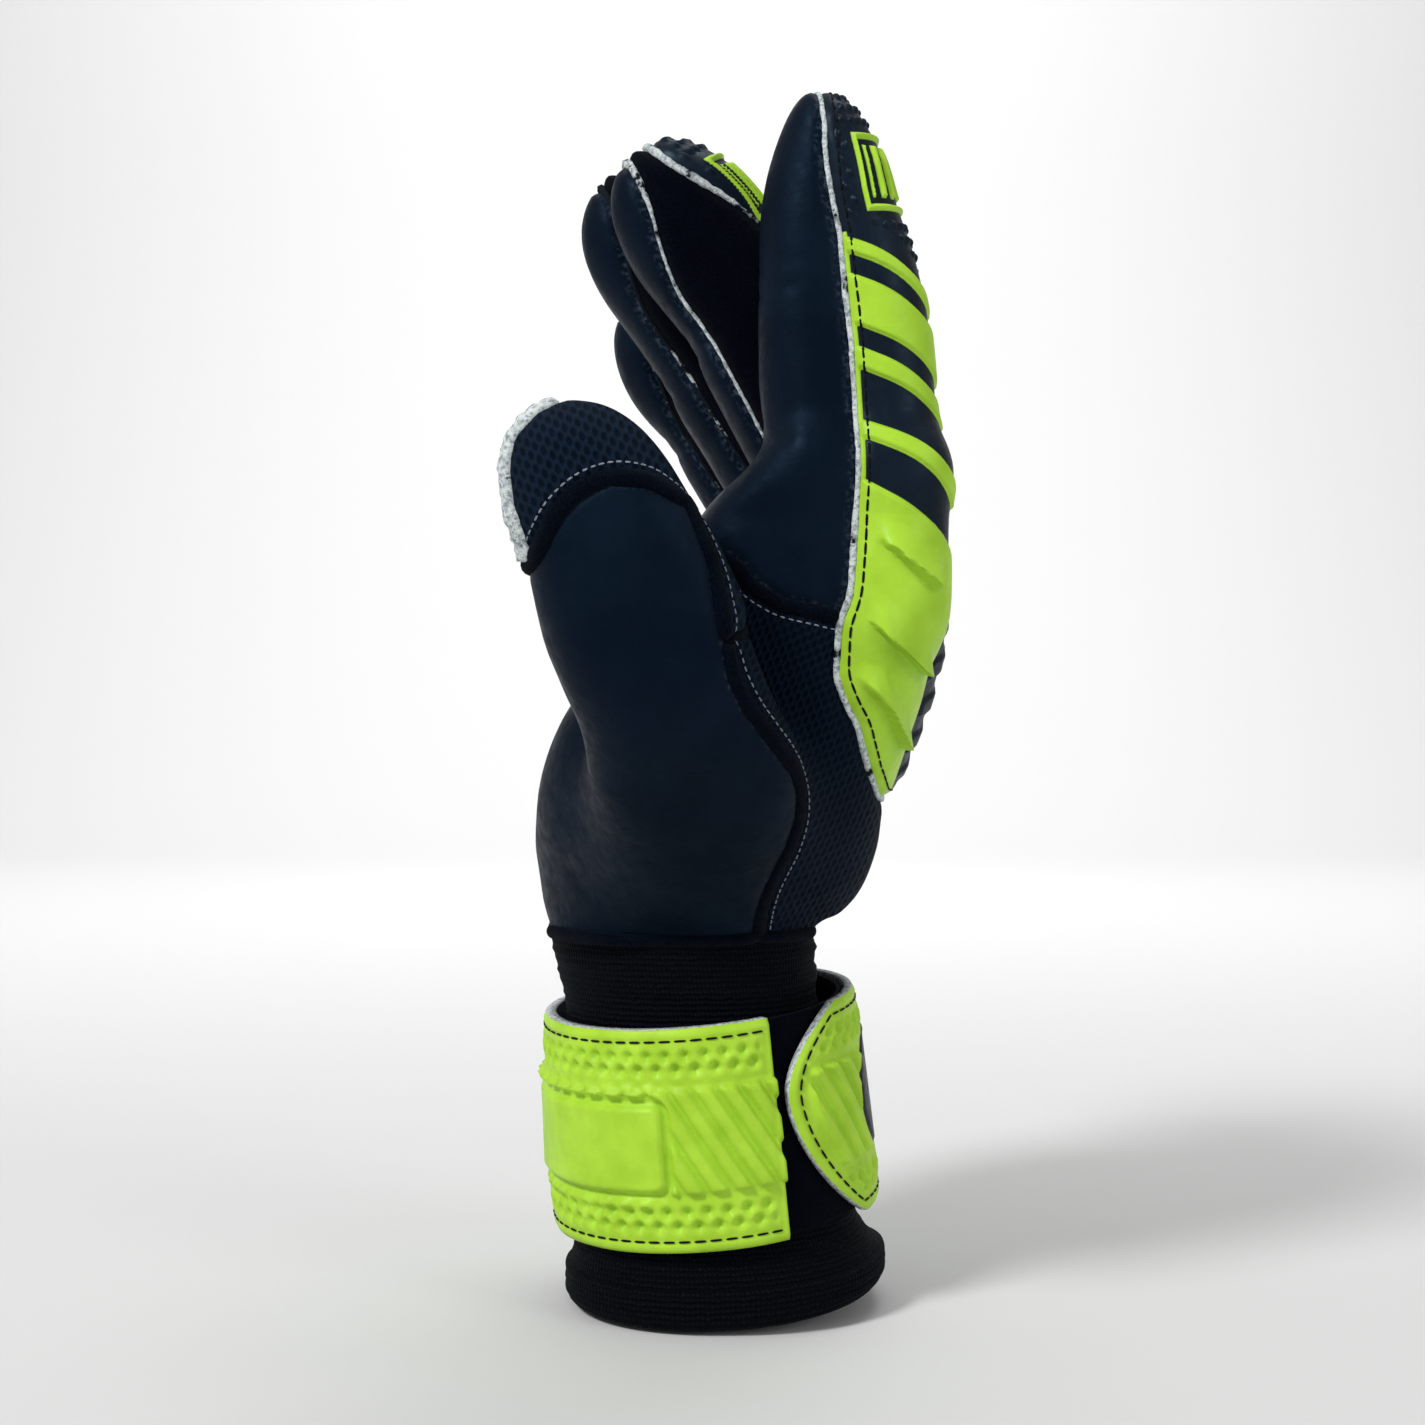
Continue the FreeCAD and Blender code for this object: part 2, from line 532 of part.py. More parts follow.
def build_spine_link(name, start, length, length_now):
    """One link of a finger spine: a thin stay with ribs across it, along local Z, ribs towards the palm."""
    body = doc.addObject("PartDesign::Body", name)
    half = SIZES["spine_width"] / 2
    first = SIZES["base_gap"]
    stay_sketch = rectangle(
        body, "YZ_Plane", (-half, first), (half, first + length_now),
        (cell("spine_width"), start, length),
    )
    stay = body.newObject("PartDesign::Pad", f"{name}_stay")
    stay.Profile = stay_sketch
    stay.setExpression("Length", f"{cell('spine_thick')} * 1 mm")
    stay.Reversed = True
    doc.recompute()
    rib_sketch = rectangle(
        body, "YZ_Plane", (-half, first), (half, first + SIZES["rib_length"]),
        (cell("spine_width"), start, cell("rib_length")),
    )
    rib = body.newObject("PartDesign::Pad", f"{name}_rib")
    rib.Profile = rib_sketch
    rib.setExpression("Length", f"({cell('spine_thick')} + {cell('rib_thick')}) * 1 mm")
    rib.Reversed = True
    doc.recompute()
    ribs = body.newObject("PartDesign::LinearPattern", f"{name}_ribs")
    ribs.Originals = [rib]
    ribs.Direction = (rib_sketch, ["V_Axis"])
    count = int((length_now - SIZES["rib_length"]) // SIZES["rib_pitch"])
    ribs.Occurrences = count + 1
    ribs.Length = count * SIZES["rib_pitch"]
    body.Tip = ribs
    return body


def build_spines():
    for finger in FINGERS:
        offset = f"({cell(finger + '_thick')} / 2 - {cell('latex_wall')} - {cell('spine_play')})"
        spans = {
            "lower": (cell("base_gap"), "reach", SIZES["base_gap"] + SIZES["mid_gap"], cell("mid_gap"), 1.0),
            "upper": (cell("mid_gap"), "tip", SIZES["mid_gap"], "", SIZES["spine_share"]),
        }
        for segment, (start, reach, used, end, share) in spans.items():
            whole = cell(f"{finger}_{reach}")
            taken = f" - {end}" if end else ""
            length = f"{whole} * {share} - {start}{taken}"
            length_now = SIZES[f"{finger}_{reach}"] * share - used
            link = build_spine_link(f"{finger}_{segment}_link", start, length, length_now)
            frame = frame_of(finger, segment)
            angle = f"{frame['tilt']} * 1 deg"
            frame["x"] = f"{frame['x']} + {offset} * cos({angle})"
            frame["z"] = f"{frame['z']} + {offset} * sin({angle})"
            keep(put(link, **frame), f"{finger}_{segment}_spine")


# ---------------------------------------------------------------- thumb

def build_thumb():
    base = thumb_frame(thumb_point("base"), thumb_point("mid"))
    mid = thumb_frame(thumb_point("mid"), thumb_point("end"))
    base_gap = sheet.get("thumb_base_gap")
    mid_gap = sheet.get("thumb_mid_gap")
    lower_end = (thumb_point("mid") - thumb_point("base")).Length - mid_gap
    tip = (thumb_point("end") - thumb_point("mid")).Length
    wall = sheet.get("latex_wall")
    spans = {
        "thumb_base_sleeve": [(base, -base_gap, ""), (base, base_gap, "")],
        "thumb_lower": [(base, base_gap, ""), (base, lower_end, "")],
        "thumb_mid_sleeve": [(base, lower_end, ""), (mid, mid_gap, "")],
        "thumb_upper": [
            (mid, mid_gap, ""),
            (mid, tip * sheet.get("shoulder_at"), "shoulder_share"),
            (mid, tip * sheet.get("crown_at"), "crown_share"),
            (mid, tip, "end_share"),
        ],
    }
    for name, stops in spans.items():
        solids = []
        for side, inset in (("outer", ""), ("inner", "latex_wall")):
            drop = wall if inset else 0.0
            outlines = []
            for number, (frame, along, share) in enumerate(stops):
                depth = along - drop if share else along
                label = f"{name}_{side}_{number}"
                outlines.append(thumb_section(label, "thumb_thick", frame, depth, inset, share))
            solids.append(loft(f"{name}_{side}", outlines, ruled=len(stops) == 2))
        shell = boolean("Cut", f"{name}_shell", *solids)
        if name.endswith("sleeve"):
            keep(shell, name)
            continue
        seam = sheet.get("thumb_seam")
        pad_side = block(f"{name}_pad_side", (-FAR, seam, -FAR), (FAR, FAR, FAR), stops[0][0])
        keep(boolean("Common", f"{name}_pad_piece", shell, pad_side), f"{name}_pad")
        keep(boolean("Cut", f"{name}_cover_piece", shell, pad_side), f"{name}_cover")


def write_parts():
    """Recomputes, stops on any failed object or shape, and writes one STEP file per sub-part."""
    doc.recompute()
    for made in doc.Objects:
        if "Invalid" in made.State or "Error" in made.State:
            raise RuntimeError(f"{made.Name} failed: {made.State}")
    os.makedirs("parts", exist_ok=True)
    for piece in sub_parts:
        if piece.Shape.isNull() or not piece.Shape.isValid() or not piece.Shape.Solids:
            raise RuntimeError(f"{piece.Label} has no valid solid")
        piece.Shape.exportStep(os.path.join("parts", f"{piece.Label}.step"))
    print(len(sub_parts), "sub-parts written")


build_hand()
build_cuff()
build_strap()
for finger_name in FINGERS:
    for segment_name in ("lower", "upper"):
        build_segment(finger_name, segment_name)
    for joint_name in ("base", "mid"):
        build_sleeve(finger_name, joint_name)
build_spines()
build_thumb()
write_parts()
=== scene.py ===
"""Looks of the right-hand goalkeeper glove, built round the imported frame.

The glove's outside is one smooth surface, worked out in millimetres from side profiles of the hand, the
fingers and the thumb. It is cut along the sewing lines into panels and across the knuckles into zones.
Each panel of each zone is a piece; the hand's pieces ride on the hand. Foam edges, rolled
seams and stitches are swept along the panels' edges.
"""
import json
import math
import bpy
import numpy as np
from mathutils.kdtree import KDTree
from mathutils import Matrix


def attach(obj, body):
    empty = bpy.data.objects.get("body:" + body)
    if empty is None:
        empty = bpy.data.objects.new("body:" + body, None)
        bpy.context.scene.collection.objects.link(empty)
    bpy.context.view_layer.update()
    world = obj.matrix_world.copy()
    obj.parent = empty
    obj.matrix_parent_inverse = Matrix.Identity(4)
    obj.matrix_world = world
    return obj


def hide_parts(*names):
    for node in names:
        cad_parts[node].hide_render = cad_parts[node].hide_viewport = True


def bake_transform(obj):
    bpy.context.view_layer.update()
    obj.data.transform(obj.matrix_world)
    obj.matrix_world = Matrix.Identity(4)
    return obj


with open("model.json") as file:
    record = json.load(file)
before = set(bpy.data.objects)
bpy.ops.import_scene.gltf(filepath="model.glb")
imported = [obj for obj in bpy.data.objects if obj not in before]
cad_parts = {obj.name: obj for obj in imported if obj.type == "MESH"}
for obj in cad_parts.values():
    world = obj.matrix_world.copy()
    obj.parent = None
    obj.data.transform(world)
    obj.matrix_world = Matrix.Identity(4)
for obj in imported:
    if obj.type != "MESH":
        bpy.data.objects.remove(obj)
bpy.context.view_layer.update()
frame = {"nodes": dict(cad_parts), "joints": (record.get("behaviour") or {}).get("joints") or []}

MM = 0.001
FINE = 1.3
rng = np.random.default_rng(7)

# ---------------------------------------------------------------------------------------------------
# Driving dimensions, in millimetres and degrees. X is towards the back of the hand, -Y the thumb side.

FINGERS = {
    "index": dict(reach=37.0, tip=40.5, tilt=3.0, curl=8.0, width=24.8, palm=17.0, back=16.5,
                  lean=(0.316, 0.948), fillet=9.0),
    "middle": dict(reach=40.0, tip=45.0, tilt=28.0, curl=38.0, width=24.8, palm=17.0, back=16.0,
                   lean=(0.15, 0.989), fillet=4.0),
    "ring": dict(reach=39.0, tip=50.0, tilt=32.0, curl=36.0, width=24.8, palm=18.5, back=15.5,
                 lean=(0.0, 1.0), fillet=4.0),
    "little": dict(reach=32.0, tip=36.0, tilt=32.0, curl=42.0, width=22.6, palm=17.0, back=14.0,
                   lean=(0.0, 1.0), fillet=4.0),
}
NAMES = tuple(FINGERS)
HINGES = {joint["name"]: np.round(np.array(joint["pos_m"]) / MM, 6) for joint in frame["joints"]}
for name, f in FINGERS.items():
    f["x"], f["y"], f["z"] = HINGES[name + "_base_knuckle"]
BETWEEN = (-25.8, 0.0, 25.35)            # Y of the gaps between neighbouring fingers
BEND_BELOW, BEND_ABOVE, MID_BEND = 9.0, 10.0, 9.0
INDEX_SIDE = [(14, 150), (12, 163), (10, 182), (8.2, 198), (7.4, 206), (7.2, 221), (7.4, 236),
              (8.5, 243.6), (10.3, 251), (12.8, 258.7), (15.6, 263.4), (18.9, 265.4), (23.6, 263.8),
              (27.6, 260.3), (32.6, 251.2), (35.8, 240.6), (39.4, 230), (42.2, 217.3), (43.7, 200),
              (44.3, 185), (44.1, 172), (42, 150)]
HAND_SIDE = [(-40.5, 70), (20, 70), (20.5, 84), (26.5, 88.8), (31, 95.5), (33.8, 105), (35.2, 115),
             (38.4, 127), (41.8, 138), (43.8, 149), (44, 160), (44.2, 175), (44, 200), (0, 200),
             (-3, 187), (-6, 176), (-12, 162), (-21, 149.5), (-31.5, 137), (-38.5, 124.5),
             (-42, 108), (-41.3, 95), (-40.5, 84)]
HAND_FRONT = [(-33, 70), (33, 70), (33, 84), (37, 92), (44, 106), (49, 122), (50.5, 145), (49.5, 175),
              (49, 210), (-51, 210), (-51, 175), (-51, 145), (-49, 122), (-44, 106), (-37, 92), (-33, 84)]
THUMB_SIDE = [(-33.3, 195.4), (-39.3, 193.4), (-43.8, 188.4), (-45.1, 182), (-44.2, 174.4),
              (-41.5, 167), (-39.2, 161), (-37.6, 154), (-35.8, 147), (-32.4, 139), (-29, 130),
              (-27, 116), (-23, 102), (-12, 92), (4, 92), (11.5, 100), (15.6, 109), (16.6, 118),
              (14.2, 127), (9.6, 136), (5.4, 146), (3, 156), (-1.6, 167), (-7, 176), (-12.6, 184.4),
              (-17.4, 190), (-22.8, 193.8), (-28.2, 195.4)]
THUMB_Y = ([92, 100, 120, 138, 168, 197], [-27, -36, -52, -64.5, -69.5, -71.5])
THUMB_HALF = ([92, 110, 140, 165, 197], [12, 13.5, 14.0, 13.0, 11.0])
BACK_EDGE = ([108, 115.4, 122, 131, 136.3, 141.5, 152.7, 157.9, 165.9, 182.5, 196.8, 211, 225, 233,
              242, 252.4, 266, 275],
             [56, 33.6, 30.6, 27.5, 24.2, 21.9, 21.8, 23.5, 24, 24.8, 24.8, 24, 22.4, 21.6,
              19.7, 18.3, 18.6, 18.6])
WRAP_EDGE = ([80, 86, 90.8, 95.5, 105.4, 112.6, 118, 122.4, 127.7, 134.5, 140.5, 146.5, 157.5, 163.4, 175],
             [7.5, 7.5, 7.8, 9.1, 13.4, 15.5, 15.5, 14.1, 10.1, 4.9, 1.6, 0.6, -1.2, -2.4, -7.3])
BOUND_EDGE = ([-20, -8, -0.4, 2.2, 4.8, 10.9, 19.5, 22.3, 40],
              [175, 170, 165.5, 164.4, 160.1, 156.3, 154.4, 153.4, 152])
THUMB_ARC = ([-50, -38.3, -32.5, -28, -22.8, -15, -7.3, 6],
             [158, 163.6, 173.3, 177.4, 179.5, 179.1, 175.2, 166])
PAD_EDGE = ([150, 160, 167, 174, 182, 188, 193, 196, 205],
            [-36.4, -38.2, -40.4, -42.8, -43.6, -42.4, -38.2, -33, -22])
HAND_TOP = ([-51, -34, -27, -13, 0, 13, 26, 38, 50], [180, 180, 171.5, 171.5, 171, 168.5, 165, 162, 162])
WRIST_CUT = 85.2
MESH_SEAM_Y = 4.0                        # the seam between the two side meshes
LITTLE_MESH_TOP = 156.0
THUMB_LIMIT_Y = -46.0                    # the thumb's zones lie beyond this
HAND, FIRST_BASE, FIRST_TIP, THUMB_LOW, THUMB_TIP = 0, 1, 5, 9, 10     # zones, the fingers' four at a time


# ---------------------------------------------------------------------------------------------------
# Plane profiles and their signed distance

def smooth_closed(points, per_side=7):
    """A closed Catmull-Rom curve through the points."""
    p = np.asarray(points, float)
    a, b, c, d = np.roll(p, 1, 0), p, np.roll(p, -1, 0), np.roll(p, -2, 0)
    t = (np.arange(per_side) / per_side)[:, None, None]
    out = 0.5 * (2 * b + (c - a) * t + (2 * a - 5 * b + 4 * c - d) * t**2 + (3 * b - a - 3 * c + d) * t**3)
    return out.transpose(1, 0, 2).reshape(-1, 2)


class Profile:
    """Signed distance to a closed plane outline, kept on a grid and read between its points."""

    def __init__(self, outline, margin=34.0, step=0.6):
        low, high = outline.min(0) - margin, outline.max(0) + margin
        count = np.ceil((high - low) / step).astype(int) + 1
        gx, gz = np.meshgrid(low[0] + np.arange(count[0]) * step, low[1] + np.arange(count[1]) * step,
                             indexing="ij")
        q = np.stack([gx.ravel(), gz.ravel()], 1)
        best = np.full(len(q), 1e9)
        inside = np.zeros(len(q), bool)
        for a, b in zip(outline, np.roll(outline, -1, 0)):
            ab, aq = b - a, q - a
            t = np.clip(aq @ ab / (ab @ ab + 1e-12), 0, 1)
            away = aq - t[:, None] * ab
            np.minimum(best, (away**2).sum(1), out=best)
            crosses = (a[1] > q[:, 1]) != (b[1] > q[:, 1])
            if crosses.any():
                x = a[0] + (q[:, 1] - a[1]) * ab[0] / (ab[1] if abs(ab[1]) > 1e-12 else 1e-12)
                inside ^= crosses & (q[:, 0] < x)
        self.low, self.step = low, step
        self.grid = (np.sqrt(best) * np.where(inside, -1, 1)).reshape(gx.shape)

    def __call__(self, x, z):
        n = np.array(self.grid.shape)
        u = (x - self.low[0]) / self.step
        w = (z - self.low[1]) / self.step
        cu, cw = np.clip(u, 0, n[0] - 1.001), np.clip(w, 0, n[1] - 1.001)
        i, k = cu.astype(int), cw.astype(int)
        fu, fw = cu - i, cw - k
        g = self.grid
        value = ((g[i, k] * (1 - fu) + g[i + 1, k] * fu) * (1 - fw)
                 + (g[i, k + 1] * (1 - fu) + g[i + 1, k + 1] * fu) * fw)
        return value + np.hypot(u - cu, w - cw) * self.step


def ramp(x, low, high):
    """0 below low, 1 above high, and a smooth rise between them."""
    t = np.clip((x - low) / (high - low), 0, 1)
    return t * t * (3 - 2 * t)


def rounded_both(a, b, r):
    """Inside both a and b, with a rounded edge of radius r."""
    u, v = a + r, b + r
    return np.minimum(np.maximum(u, v), 0) + np.hypot(np.maximum(u, 0), np.maximum(v, 0)) - r


def soft_union(a, b, k):
    """Inside either a or b, with the corner between them filled over a width k."""
    h = np.clip(0.5 + 0.5 * (b - a) / k, 0, 1)
    return b + (a - b) * h - k * h * (1 - h)


def centreline(f):
    """(along, x, z, lean angle) of a finger's middle line, from 40 mm below its base hinge to its tip."""
    along = np.arange(-40.0, f["reach"] + f["tip"] + 0.01, 0.5)
    tilt, curl = math.radians(f["tilt"]), math.radians(f["curl"])
    angle = tilt * ramp(along, -9, 9) + (curl - tilt) * ramp(along, f["reach"] - 9, f["reach"] + 9)
    x = np.concatenate([[0], np.cumsum(-np.sin((angle[1:] + angle[:-1]) / 2) * 0.5)])
    z = np.concatenate([[0], np.cumsum(np.cos((angle[1:] + angle[:-1]) / 2) * 0.5)])
    at = int(np.argmin(abs(along)))
    return along, x - x[at] + f["x"], z - z[at] + f["z"], angle


def finger_outline(f):
    """A curled finger's side outline: its middle line with a thickness that closes at the tip."""
    along, x, z, angle = centreline(f)
    length = along[-1]
    shoulder = length - 27.0
    close = np.sqrt(np.clip(1 - (np.clip(along - shoulder, 0, None) / 27.0) ** 2.3, 0, 1))
    near = np.where(along > -20, 1.0, 0.9)
    palm = f["palm"] * (1 - 0.07 * ramp(along, f["reach"] - 10, f["reach"] + 4)) * close * near
    back = f["back"] * close * near
    ex, ez = np.cos(angle), np.sin(angle)
    one = np.stack([x - ex * palm, z - ez * palm], 1)
    two = np.stack([x + ex * back, z + ez * back], 1)
    return np.concatenate([one[::3], [[x[-1], z[-1]]], two[::-3]])


for name, f in FINGERS.items():
    f["line"] = centreline(f)
    f["side"] = Profile(smooth_closed(INDEX_SIDE) if name == "index" else finger_outline(f))
hand_side = Profile(smooth_closed(HAND_SIDE))
hand_front = Profile(smooth_closed(HAND_FRONT, 4))
thumb_side = Profile(smooth_closed(THUMB_SIDE))


def swing(p):
    """X of a point as if the palm weren't turned: the knuckles stand a little further back by the thumb."""
    return p[:, 0] + 0.145 * (p[:, 1] + 38.7) * ramp(p[:, 2], 118, 168)


def hand_only(p):
    """Signed distance to the hand without its fingers and thumb."""
    body = rounded_both(hand_side(swing(p), p[:, 2]), hand_front(p[:, 1], p[:, 2]),
                        np.interp(p[:, 2], [84, 100, 125, 150, 170], [27, 30, 24, 19, 12]))
    rise = 0.5 * np.clip(p[:, 0] + 5, -10, 20) * ramp(-p[:, 1], 24, 32)
    top = (p[:, 2] - np.interp(p[:, 1], *HAND_TOP) - rise) * 0.9
    return rounded_both(body, top, 8.0)


def finger_only(p, f):
    """Signed distance to one finger: its side outline, as thick as the finger is wide."""
    slab = abs(p[:, 1] - f["y"]) - f["width"] / 2
    return rounded_both(f["side"](p[:, 0], p[:, 2]), slab, 11.0)


def eased(table, width=16.0):
    """A table of (places, values) with its corners rounded off."""
    at = np.arange(table[0][0] - 40.0, table[0][-1] + 40.0, 1.0)
    value = np.interp(at, *table)
    for _ in range(2):
        kernel = np.ones(int(width)) / int(width)
        value = np.convolve(np.pad(value, int(width), mode="edge"), kernel, "same")[int(width):-int(width)]
    return at, value


THUMB_CENTRE = eased(THUMB_Y)


def thumb_only(p):
    """Signed distance to the thumb."""
    centre = np.interp(p[:, 2], *THUMB_CENTRE)
    half = np.interp(p[:, 2], *THUMB_HALF)
    return rounded_both(thumb_side(p[:, 0], p[:, 2]), (abs(p[:, 1] - centre) - half) * 0.93, 11.0)


def glove_but_thumb(p):
    """Signed distance to the hand with its four fingers."""
    hand = hand_only(p)
    total = hand
    for f in FINGERS.values():
        total = np.minimum(total, soft_union(hand, finger_only(p, f), f["fillet"]))
    return total


def glove(p):
    """Signed distance to the whole glove's outside."""
    k = np.interp(p[:, 2], [100, 128, 143], [11.0, 8.0, 2.5])
    return soft_union(glove_but_thumb(p), thumb_only(p), k)


def slope(p, field=glove, h=0.35):
    """The field's gradient."""
    g = np.empty_like(p)
    for i in range(3):
        d = np.zeros(3)
        d[i] = h
        g[:, i] = (field(p + d) - field(p - d)) / (2 * h)
    return g


def settle(p, rounds=2):
    """Moves points onto the glove's surface and returns them with their outward directions."""
    p = p.copy()
    for _ in range(rounds):
        g = slope(p)
        p -= g * (glove(p) / np.maximum((g**2).sum(1), 0.05))[:, None]
    g = slope(p)
    return p, g / np.maximum(np.linalg.norm(g, axis=1), 1e-9)[:, None]


# ---------------------------------------------------------------------------------------------------
# Surface mesh, cutting and labels

def surface_net(field, low, high, step):
    """Vertices and triangles of the field's zero surface."""
    count = np.ceil((np.array(high) - low) / step).astype(int) + 1
    axes = [low[i] + np.arange(count[i]) * step for i in range(3)]
    value = np.empty(count)
    for k, z in enumerate(axes[2]):
        gx, gy = np.meshgrid(axes[0], axes[1], indexing="ij")
        value[:, :, k] = field(np.stack([gx.ravel(), gy.ravel(), np.full(gx.size, z)], 1)).reshape(gx.shape)
    inside = value < 0
    total = np.zeros(np.array(count) - 1)
    place = np.zeros((*total.shape, 3))
    for axis in range(3):
        for s in range(2):
            for t in range(2):
                a = [slice(0, -1)] * 3
                others = [i for i in range(3) if i != axis]
                for o, shift in zip(others, (s, t)):
                    a[o] = slice(shift, count[o] - 1 + shift)
                b = list(a)
                a[axis], b[axis] = slice(0, -1), slice(1, None)
                va, vb = value[tuple(a)], value[tuple(b)]
                cross = (va < 0) != (vb < 0)
                share = np.where(cross, va / np.where(cross, va - vb, 1), 0)
                total += cross
                for i in range(3):
                    base = share if i == axis else (s if i == others[0] else t)
                    place[..., i] += np.where(cross, base, 0)
    used = total > 0
    index = np.full(total.shape, -1)
    index[used] = np.arange(used.sum())
    cells = np.argwhere(used)
    verts = low + (cells + place[used] / total[used][:, None]) * step
    quads = []
    for axis in range(3):
        a = [slice(None)] * 3
        b = [slice(None)] * 3
        a[axis], b[axis] = slice(0, -1), slice(1, None)
        change = inside[tuple(a)].astype(int) - inside[tuple(b)].astype(int)
        o1, o2 = (axis + 1) % 3, (axis + 2) % 3
        where = np.argwhere(change != 0)
        for o in (o1, o2):
            where = where[(where[:, o] > 0) & (where[:, o] < count[o] - 1)]
        sign = change[tuple(where.T)]
        ring = []
        for d1, d2 in ((-1, -1), (0, -1), (0, 0), (-1, 0)):
            cell = where.copy()
            cell[:, o1] += d1
            cell[:, o2] += d2
            ring.append(index[tuple(cell.T)])
        quad = np.stack(ring, 1)
        quad[sign < 0] = quad[sign < 0][:, ::-1]
        quads.append(quad)
    quads = np.concatenate(quads)
    d02 = np.linalg.norm(verts[quads[:, 0]] - verts[quads[:, 2]], axis=1)
    d13 = np.linalg.norm(verts[quads[:, 1]] - verts[quads[:, 3]], axis=1)
    one = np.where((d02 < d13)[:, None], quads[:, [0, 1, 2]], quads[:, [0, 1, 3]])
    two = np.where((d02 < d13)[:, None], quads[:, [0, 2, 3]], quads[:, [1, 2, 3]])
    return verts, np.concatenate([one, two])


def face_normals(verts, tris):
    """Each triangle's normal, as long as twice its area."""
    return np.cross(verts[tris[:, 1]] - verts[tris[:, 0]], verts[tris[:, 2]] - verts[tris[:, 0]])


def edges_of(tris):
    """Unique edges, and the numbers of each triangle's three edges, in the order 01, 12, 20."""
    sides = np.concatenate([tris[:, [0, 1]], tris[:, [1, 2]], tris[:, [2, 0]]])
    sides.sort(axis=1)
    unique, back = np.unique(sides, axis=0, return_inverse=True)
    return unique, back.reshape(3, -1).T


def owners_of(edges, side):
    """The one or two triangles on each edge. The second is -1 on an open edge."""
    order = np.argsort(side.ravel(), kind="stable")
    first = np.searchsorted(side.ravel()[order], np.arange(len(edges)))
    count = np.bincount(side.ravel(), minlength=len(edges))
    second = order[np.minimum(first + 1, len(order) - 1)] // 3
    return np.stack([order[first] // 3, np.where(count > 1, second, -1)], 1)


def relax(verts, tris, rounds=2):
    """Evens out the mesh along the surface."""
    for _ in range(rounds):
        edges = edges_of(tris)[0]
        total = np.zeros_like(verts)
        count = np.zeros(len(verts))
        for a, b in ((0, 1), (1, 0)):
            np.add.at(total, edges[:, a], verts[edges[:, b]])
            np.add.at(count, edges[:, a], 1)
        verts = verts * 0.4 + 0.6 * total / np.maximum(count, 1)[:, None]
        verts = settle(verts, 1)[0]
    return verts


def cut(verts, tris, value, where=None):
    """Splits triangles along value = 0. Points close to the line are moved onto it."""
    value = value.copy()
    edges, side = edges_of(tris)
    va, vb = value[edges[:, 0]], value[edges[:, 1]]
    live = np.ones(len(edges), bool) if where is None else where[edges].all(1)
    cross = (va * vb < 0) & live
    t = np.where(cross, va / np.where(cross, va - vb, 1), 0.5)
    verts = verts.copy()
    for end, near in ((0, cross & (t < 0.18)), (1, cross & (t > 0.82))):
        ids = edges[near, end]
        place = verts[edges[near, 0]] * (1 - t[near, None]) + verts[edges[near, 1]] * t[near, None]
        ids, first = np.unique(ids, return_index=True)
        verts[ids] = place[first]
        value[ids] = 0
    va, vb = value[edges[:, 0]], value[edges[:, 1]]
    cross = (va * vb < 0) & live
    t = va[cross] / (va[cross] - vb[cross])
    made = verts[edges[cross, 0]] * (1 - t[:, None]) + verts[edges[cross, 1]] * t[:, None]
    number = np.full(len(edges), -1)
    number[cross] = len(verts) + np.arange(cross.sum())
    verts = np.concatenate([verts, made])
    on = number[side]
    hits = (on >= 0).sum(1)
    out = [tris[hits == 0]]
    for turn in range(3):
        a, b, c = np.roll(tris, -turn, 1).T
        ab, bc, ca = np.roll(on, -turn, 1).T
        two = (hits == 2) & (bc < 0)
        out += [np.stack(q, 1)[two] for q in ((a, ab, ca), (ab, b, c), (ab, c, ca))]
        one = (hits == 1) & (bc >= 0)
        out += [np.stack(q, 1)[one] for q in ((a, b, bc), (a, bc, c))]
    return verts, np.concatenate(out)


def along_across(p, f):
    """How far along a finger's middle line each point is, and how far across it, positive at the back."""
    along, x, z, angle = f["line"]
    s = np.empty(len(p))
    v = np.empty(len(p))
    for start in range(0, len(p), 20000):
        q = p[start:start + 20000]
        d = (q[:, :1] - x[None, ::2]) ** 2 + (q[:, 2:3] - z[None, ::2]) ** 2
        at = d.argmin(1) * 2
        dx, dz = q[:, 0] - x[at], q[:, 2] - z[at]
        s[start:start + 20000] = along[at] - dx * np.sin(angle[at]) + dz * np.cos(angle[at])
        v[start:start + 20000] = dx * np.cos(angle[at]) + dz * np.sin(angle[at])
    return s, v


def finger_number(p):
    """The finger whose strip of the hand each point lies in, 0 for the index finger."""
    return np.searchsorted(BETWEEN, p[:, 1])


THUMB_BASE, THUMB_MID = HINGES["thumb_base_knuckle"], HINGES["thumb_middle_knuckle"]
THUMB_DIR = (THUMB_MID - THUMB_BASE) / np.linalg.norm(THUMB_MID - THUMB_BASE)
THUMB_START, THUMB_FULL = 8.0, 17.0      # along THUMB_DIR from its base, where the bend begins and ends
THUMB_SPLIT = 20.0                       # and where the upper zone begins


def on_thumb_side(p):
    """True on the thumb, away from the hand."""
    return (thumb_only(p) < glove_but_thumb(p)) & (p[:, 1] < THUMB_LIMIT_Y)


def base_level(p, f):
    """Distance above the plane through a finger's base hinge, along the lean of its knuckle line."""
    return (p[:, 0] - f["x"]) * f["lean"][0] + (p[:, 2] - f["z"]) * f["lean"][1]


def zone_fields(p):
    """Distances from the planes that split the glove into zones: the fingers' two and the thumb's two."""
    number = finger_number(p)
    level = np.zeros(len(p))
    for i, f in enumerate(FINGERS.values()):
        level = np.where(number == i, base_level(p, f), level)
    thumb_level = (p - THUMB_BASE) @ THUMB_DIR
    return level, thumb_level


